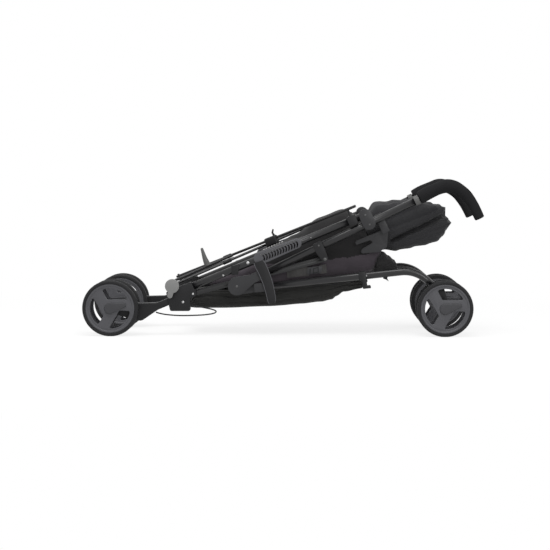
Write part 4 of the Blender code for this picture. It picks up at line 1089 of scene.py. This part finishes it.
def grid_sheet(name, columns, rows, width, length):
    """A flat grid of cloth whose UV map is in metres, to be bent into place."""
    bpy.ops.object.select_all(action="DESELECT")
    bpy.ops.mesh.primitive_grid_add(x_subdivisions=columns, y_subdivisions=rows, size=1)
    sheet = bpy.context.object
    sheet.name = name
    weave = sheet.data.uv_layers[0]
    weave.name = "UVMap"
    for corner in weave.data:
        corner.uv = (corner.uv.x * width, corner.uv.y * length)
    return sheet


def sleeve(name, skin, material, around, start, length, count):
    """A closed sleeve with a pole at each end; skin gives its point at (place, across, up)."""
    ring = squared_ring(around)
    places = [start + length * step / (count - 1) for step in range(count)]
    rows = [[skin(place, across, up) for across, up in ring] for place in places]
    middle = [sum(row, Vector()) / around for row in rows]
    middle = [middle[0], *middle, middle[-1]]
    rings = [[middle[0]] * around, *rows, [middle[-1]] * around]
    girth = max(length_of([*row, row[0]]) for row in rows)
    cloth = grid_sheet(name, around, len(rings) - 1, girth, length_of(middle))
    columns = around + 1
    for index, corner in enumerate(cloth.data.vertices):
        corner.co = rings[index // columns][(index % columns) % around]
    close_skin(0.00001)
    bpy.ops.object.shade_smooth()
    give_finish(cloth, material)
    return cloth


# %% Shaping a sleeve
def ramp(value, start, run):
    """0 up to the start, 1 after the run, and even between them."""
    return min(1.0, max(0.0, (value - start) / run))


def between(table, place):
    """A row of numbers read from a table of (place, numbers...), smoothly between its rows."""
    for low, high in zip(table, table[1:]):
        if place <= high[0]:
            share = max(0.0, (place - low[0]) / (high[0] - low[0]))
            share = share * share * (3 - 2 * share)
            return [a + (b - a) * share for a, b in zip(low[1:], high[1:])]
    return list(table[-1][1:])


def crease(offset, width):
    return math.exp(-abs(offset) / width)


def wander(x, y, seed):
    """A slow, fixed waviness between -1 and 1."""
    return (
        math.sin(17.3 * x + 5.1 * y + seed)
        + math.sin(41.7 * x - 29.3 * y + 2.3 * seed)
        + 0.6 * math.sin(97.1 * x + 71.9 * y + 3.7 * seed)
    ) / 2.6


def section_at(table, place, up, inset=0.0):
    """The height of a sleeve's skin and its share of the width, from a table of sections."""
    low, high, share = between(table, place)
    return (low + high) / 2 + ((high - low) / 2 - inset) * up, share


def draw_in(flat, draw, across):
    """The skin's distance from the middle plane, less what the creases draw in."""
    return flat - math.copysign(draw, across)


def hang_between_frames(cloth, node):
    """The cloth, which lies between the side frames, has its place baked into its mesh and hides its node.
    """
    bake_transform(cloth)
    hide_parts(node)
    print(cloth.name, len(cloth.data.polygons), "faces")


# %% [markdown]
# ### Canopy
# Folded, the canopy is a bundle that hangs from its hinges under the handle tubes. Its pleats
# run away from the hinges and spread, one deep pocket opens between the upper and the lower
# half, and the two halves end in separate lobes. A crease is therefore kept as a line in the
# side view (distance up the handle, and lift from it), and it draws the cloth in on both sides.

# %% Canopy
CANOPY_SECTIONS = [
    (0.366, -0.048, -0.014, 0.70),
    (0.385, -0.085, 0.022, 0.92),
    (0.420, -0.103, 0.040, 1.00),
    (0.460, -0.113, 0.026, 1.00),
    (0.500, -0.124, 0.011, 1.00),
    (0.530, -0.128, -0.004, 1.00),
    (0.555, -0.121, -0.020, 0.97),
    (0.572, -0.112, -0.034, 0.88),
    (0.579, -0.100, -0.050, 0.70),
]
CANOPY_END = [
    (-0.130, 0.545),
    (-0.114, 0.560),
    (-0.097, 0.577),
    (-0.078, 0.573),
    (-0.069, 0.566),
    (-0.062, 0.577),
    (-0.050, 0.581),
    (-0.029, 0.570),
    (-0.010, 0.556),
]
# A crease: its lift at the hinge and at the free end, how deep it is there, and its width
SIDE_CREASES = [
    (-0.012, -0.022, 0.002, 0.004, 0.006),
    (-0.036, -0.047, 0.003, 0.007, 0.006),
    (-0.053, -0.060, 0.001, 0.003, 0.003),
    (-0.077, -0.094, 0.003, 0.007, 0.005),
    (-0.086, -0.106, 0.003, 0.007, 0.004),
    (-0.096, -0.118, 0.002, 0.006, 0.004),
]
TOP_CREASES = [(-0.052, 0.006, 0.007), (-0.018, 0.010, 0.009), (0.014, 0.008, 0.008), (0.047, 0.007, 0.007)]


def canopy_point(distance, across, up):
    lift, share = section_at(CANOPY_SECTIONS, distance, up)
    flat = 0.080 * share * across
    # the pleats spread and deepen away from the hinges
    spread = ramp(distance, 0.375, 0.19)
    draw = 0.0
    for near, far, shallow, deep, width in SIDE_CREASES:
        line = near + (far - near) * spread + 0.0015 * wander(distance, across, far * 400)
        draw += (shallow + (deep - shallow) * spread) * crease(lift - line, width)
    # the deep pocket between the two halves
    mouth = 0.0035 + 0.0040 * spread
    pocket = math.exp(-(((lift + 0.0695) / mouth) ** 4))
    draw += 0.030 * ramp(distance, 0.405, 0.012) * pocket
    flat = draw_in(flat, min(draw, 0.034) * abs(across) ** 3, across)
    sink = 0.0
    for place, deep, width in TOP_CREASES:
        line = place + 0.004 * wander(distance, up, 9.0)
        sink += deep * crease(flat - line, width)
    lift -= math.copysign(sink * abs(up) ** 3 * (0.4 + 0.6 * spread), up)
    # the free end follows its own outline
    end = between(CANOPY_END, lift)[0] + 0.003 * math.sin(lift * 420 + 2.0 * across)
    distance += ramp(distance, 0.50, 0.079) ** 2 * (end - 0.579)
    lift += 0.0012 * wander(distance * 1.5, across, 3.0)
    return at(on_handle(distance, lift), flat)


size = {"around": 150, "start": 0.366, "length": 0.213, "count": 64}
canopy = sleeve("folded_canopy", canopy_point, CANOPY_CLOTH, **size)
hang_between_frames(canopy, "canopy")

# %% [markdown]
# ### Basket
# The empty basket hangs flat under the front legs. Its floor is the long lower outline in the
# photograph, and its walls fall in loose folds that run with it.

# %% Basket
BASKET_SECTIONS = [
    (-0.254, 0.0665, 0.0760, 0.80),
    (-0.232, 0.0645, 0.1180, 0.95),
    (-0.190, 0.0645, 0.1220, 1.00),
    (-0.130, 0.0650, 0.1220, 1.00),
    (-0.040, 0.0690, 0.1220, 1.00),
    (0.050, 0.0750, 0.1300, 1.00),
    (0.100, 0.0805, 0.1355, 1.00),
    (0.128, 0.0865, 0.1380, 1.00),
    (0.142, 0.0965, 0.1390, 0.99),
    (0.160, 0.1085, 0.1395, 0.98),
    (0.205, 0.1170, 0.1400, 0.95),
    (0.216, 0.1240, 0.1360, 0.80),
]
BASKET_CREASES = [(0.30, 0.005, 0.10), (0.62, 0.006, 0.08), (0.84, 0.004, 0.06)]


def basket_point(x, across, up):
    z, share = section_at(BASKET_SECTIONS, x, up)
    flat = SOFT_HALF * share * across
    draw = 0.0022 * (1 + wander(x * 1.4, z * 6, 1.0))
    for place, deep, width in BASKET_CREASES:
        line = place + 0.10 * wander(x * 0.6, across, place * 20)
        draw += deep * crease(0.5 + up / 2 - line, width)
    flat = draw_in(flat, draw * abs(across) ** 3, across)
    if up > 0:
        z -= 0.010 * up**3 * (1 - across**2) * (1 + 0.5 * wander(x, flat * 2, 5.0))
    else:
        z += 0.0012 * (1 + wander(x * 0.8, flat, 7.0)) * abs(up) ** 3
    return Vector((x, flat, z))


size = {"around": 112, "start": -0.254, "length": 0.470, "count": 110}
basket = sleeve("hanging_basket", basket_point, BASKET_CLOTH, **size)
hang_between_frames(basket, "basket")

# %% [markdown]
# ### Calf rest
# A flap of the seat that hangs over the front legs below the canopy, thin at its free edge.

# %% Calf rest
CALF_SECTIONS = [
    (0.2430, 0.1560, 0.2000, 0.85),
    (0.2520, 0.1535, 0.2110, 1.00),
    (0.2650, 0.1535, 0.2165, 1.00),
    (0.2800, 0.1540, 0.2060, 1.00),
    (0.2960, 0.1555, 0.1940, 1.00),
    (0.3060, 0.1580, 0.1690, 0.95),
    (0.3110, 0.1590, 0.1640, 0.85),
]


def calf_point(x, across, up):
    z, share = section_at(CALF_SECTIONS, x, up)
    flat = SOFT_HALF * share * across
    z -= 0.0025 * max(0.0, up) ** 3 * (1 + wander(x, flat * 1.5, 2.0))
    flat = draw_in(flat, 0.003 * abs(across) ** 3 * (1 + wander(x, z * 4, 4.0)), across)
    return Vector((x, flat, z))


size = {"around": 96, "start": 0.243, "length": 0.068, "count": 30}
calf = sleeve("calf_rest_flap", calf_point, SHADE_AND_DARK_CLOTH, **size)
hang_between_frames(calf, "calf_rest")

# %% [markdown]
# ### Seat pad
# The seat is a thin padded cover, folded flat between the frames. It is made like a cushion: a
# slightly smaller sleeve is remeshed into even faces and inflated by a short Cloth simulation,
# so its skin swells between the places that hold it.

# %% Seat pad
SEAT_SECTIONS = [
    (-0.225, 0.1275, 0.1320, 0.80),
    (-0.165, 0.1265, 0.1560, 0.95),
    (-0.120, 0.1265, 0.1740, 1.00),
    (-0.050, 0.1300, 0.2060, 1.00),
    (0.030, 0.1360, 0.2470, 1.00),
    (0.100, 0.1450, 0.2790, 1.00),
    (0.160, 0.1490, 0.3020, 1.00),
    (0.190, 0.1500, 0.2850, 1.00),
    (0.215, 0.1520, 0.2560, 0.98),
    (0.2375, 0.1620, 0.2350, 0.90),
]


def inflate(piece, voxel, pressure, cap):
    """Even faces, then twenty steps of Cloth under pressure, no point moving further than cap."""
    modify(piece, "REMESH", mode="VOXEL", voxel_size=voxel)
    rest = [corner.co.copy() for corner in piece.data.vertices]
    cloth = piece.modifiers.new("cloth", "CLOTH").settings
    adjust(cloth, quality=6, mass=0.3, use_pressure=True, uniform_pressure_force=pressure)
    adjust(cloth, tension_stiffness=12, compression_stiffness=12, bending_stiffness=0.6)
    cloth.effector_weights.gravity = 0
    for number in range(1, 21):
        bpy.context.scene.frame_set(number)
    apply_all(piece)
    for corner, start in zip(piece.data.vertices, rest):
        move = corner.co - start
        if move.length > cap:
            corner.co = start + move.normalized() * cap
    bpy.context.scene.frame_set(1)


def seat_point(x, across, up):
    z, share = section_at(SEAT_SECTIONS, x, up, 0.002)
    flat = (SOFT_HALF - 0.003) * share * across
    # the front end leans forward at its top
    shift = 0.030 * ramp(x, 0.170, 0.064) * ramp(z, 0.160, 0.070)
    # the backrest bulges up between the arms of the X brace
    swell = ramp(x, -0.010, 0.120) * ramp(-x, -0.212, 0.020)
    room = min(0.066, max(0.010, 0.48 * (x + 0.049) - 0.010))
    z += 0.026 * swell * max(0.0, up) ** 2 * max(0.0, 1 - (flat / room) ** 2)
    return Vector((x + shift, flat, z))


size = {"around": 64, "start": -0.222, "length": 0.456, "count": 60}
seat = sleeve("seat_cover", seat_point, SEAT_CLOTH, **size)
inflate(seat, voxel=0.005, pressure=4.0, cap=0.006)
modify(seat, "SUBSURF", levels=1, render_levels=1)
bpy.ops.object.shade_smooth()
give_finish(seat, SEAT_CLOTH)
# above a line along the seat its faces take the darkest cloth, as painted shade where the seat's top lies
# in shadow between the frames
seat.data.materials.append(SHADE_AND_DARK_CLOTH)
for face in seat.data.polygons:
    middle = face.center
    edge = 0.187 + 0.05 * middle.x + 0.12 * max(0.0, middle.x - 0.102)
    if middle.z > edge + 0.003 * wander(middle.x * 3, middle.y, 8.0):
        face.material_index = 1
hang_between_frames(seat, "seat_pad")

# %% [markdown]
# ### Harness
# A flat webbing strap lies along the side of the seat and runs through the buckle. It is a grid
# laid along a path, given a thickness, with its UV map in metres so that the weave fits. The
# buckle's face has a loop and a slot beside it, each a thin plate.

# %% Harness webbing
STRAP_HALF = Vector((-0.0015, 0, 0.0115))
STRAP_THICKNESS = 0.0014
HARNESS = {
    "harness_front": [
        (0.010, -0.0720, 0.1590),
        (0.030, -0.0838, 0.1625),
        (0.050, -0.0846, 0.1645),
        (0.066, -0.0850, 0.1665),
    ],
    "harness_back": [
        (0.096, -0.0850, 0.1702),
        (0.102, -0.0846, 0.1712),
        (0.107, -0.0820, 0.1720),
        (0.114, -0.0740, 0.1730),
    ],
}


def strap(name, path):
    """A flat strap along a path; STRAP_HALF goes from its middle line to its edge."""
    line = smooth_path([Vector(point) for point in path])
    band = grid_sheet(name, 6, len(line) - 1, 2 * STRAP_HALF.length, length_of(line))
    for index, corner in enumerate(band.data.vertices):
        row, column = divmod(index, 7)
        corner.co = line[row] + STRAP_HALF * (column / 3 - 1)
    modify(band, "SOLIDIFY", thickness=STRAP_THICKNESS, offset=0)
    smooth_under(50)
    give_finish(band, WEBBING)
    return band


for name, path in HARNESS.items():
    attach(strap(name, path), body_of("seat_pad"))
print("harness straps", len(HARNESS))

# %% Buckle face
LOOP_PLACE = (0.086, 0.169)
SLOT_PLACE = (0.071, 0.166)
BUCKLE_FACE = (-0.0890, -0.0878)


def leaning_box(name, middle, width, height, low, high):
    """A thin box of half a width and half a height, leaning as the strap does."""
    corners = [
        (middle[0] + x * width, middle[1] + (z + x * 0.25) * height)
        for x, z in ((-1, -1), (1, -1), (1, 1), (-1, 1))
    ]
    return outline_solid(name, corners, low, high, BLACK_NYLON)


loop = leaning_box("buckle_loop", LOOP_PLACE, 0.00725, 0.00725, *BUCKLE_FACE)
cut(loop, leaning_box("loop_hole", LOOP_PLACE, 0.0050, 0.0050, -0.0900, -0.0860))
slot = leaning_box("buckle_slot", SLOT_PLACE, 0.0015, 0.0065, *BUCKLE_FACE)
face = joined("buckle_face", [loop, slot])
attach(face, body_of("harness_buckle"))
print("buckle face", len(face.data.polygons), "faces")
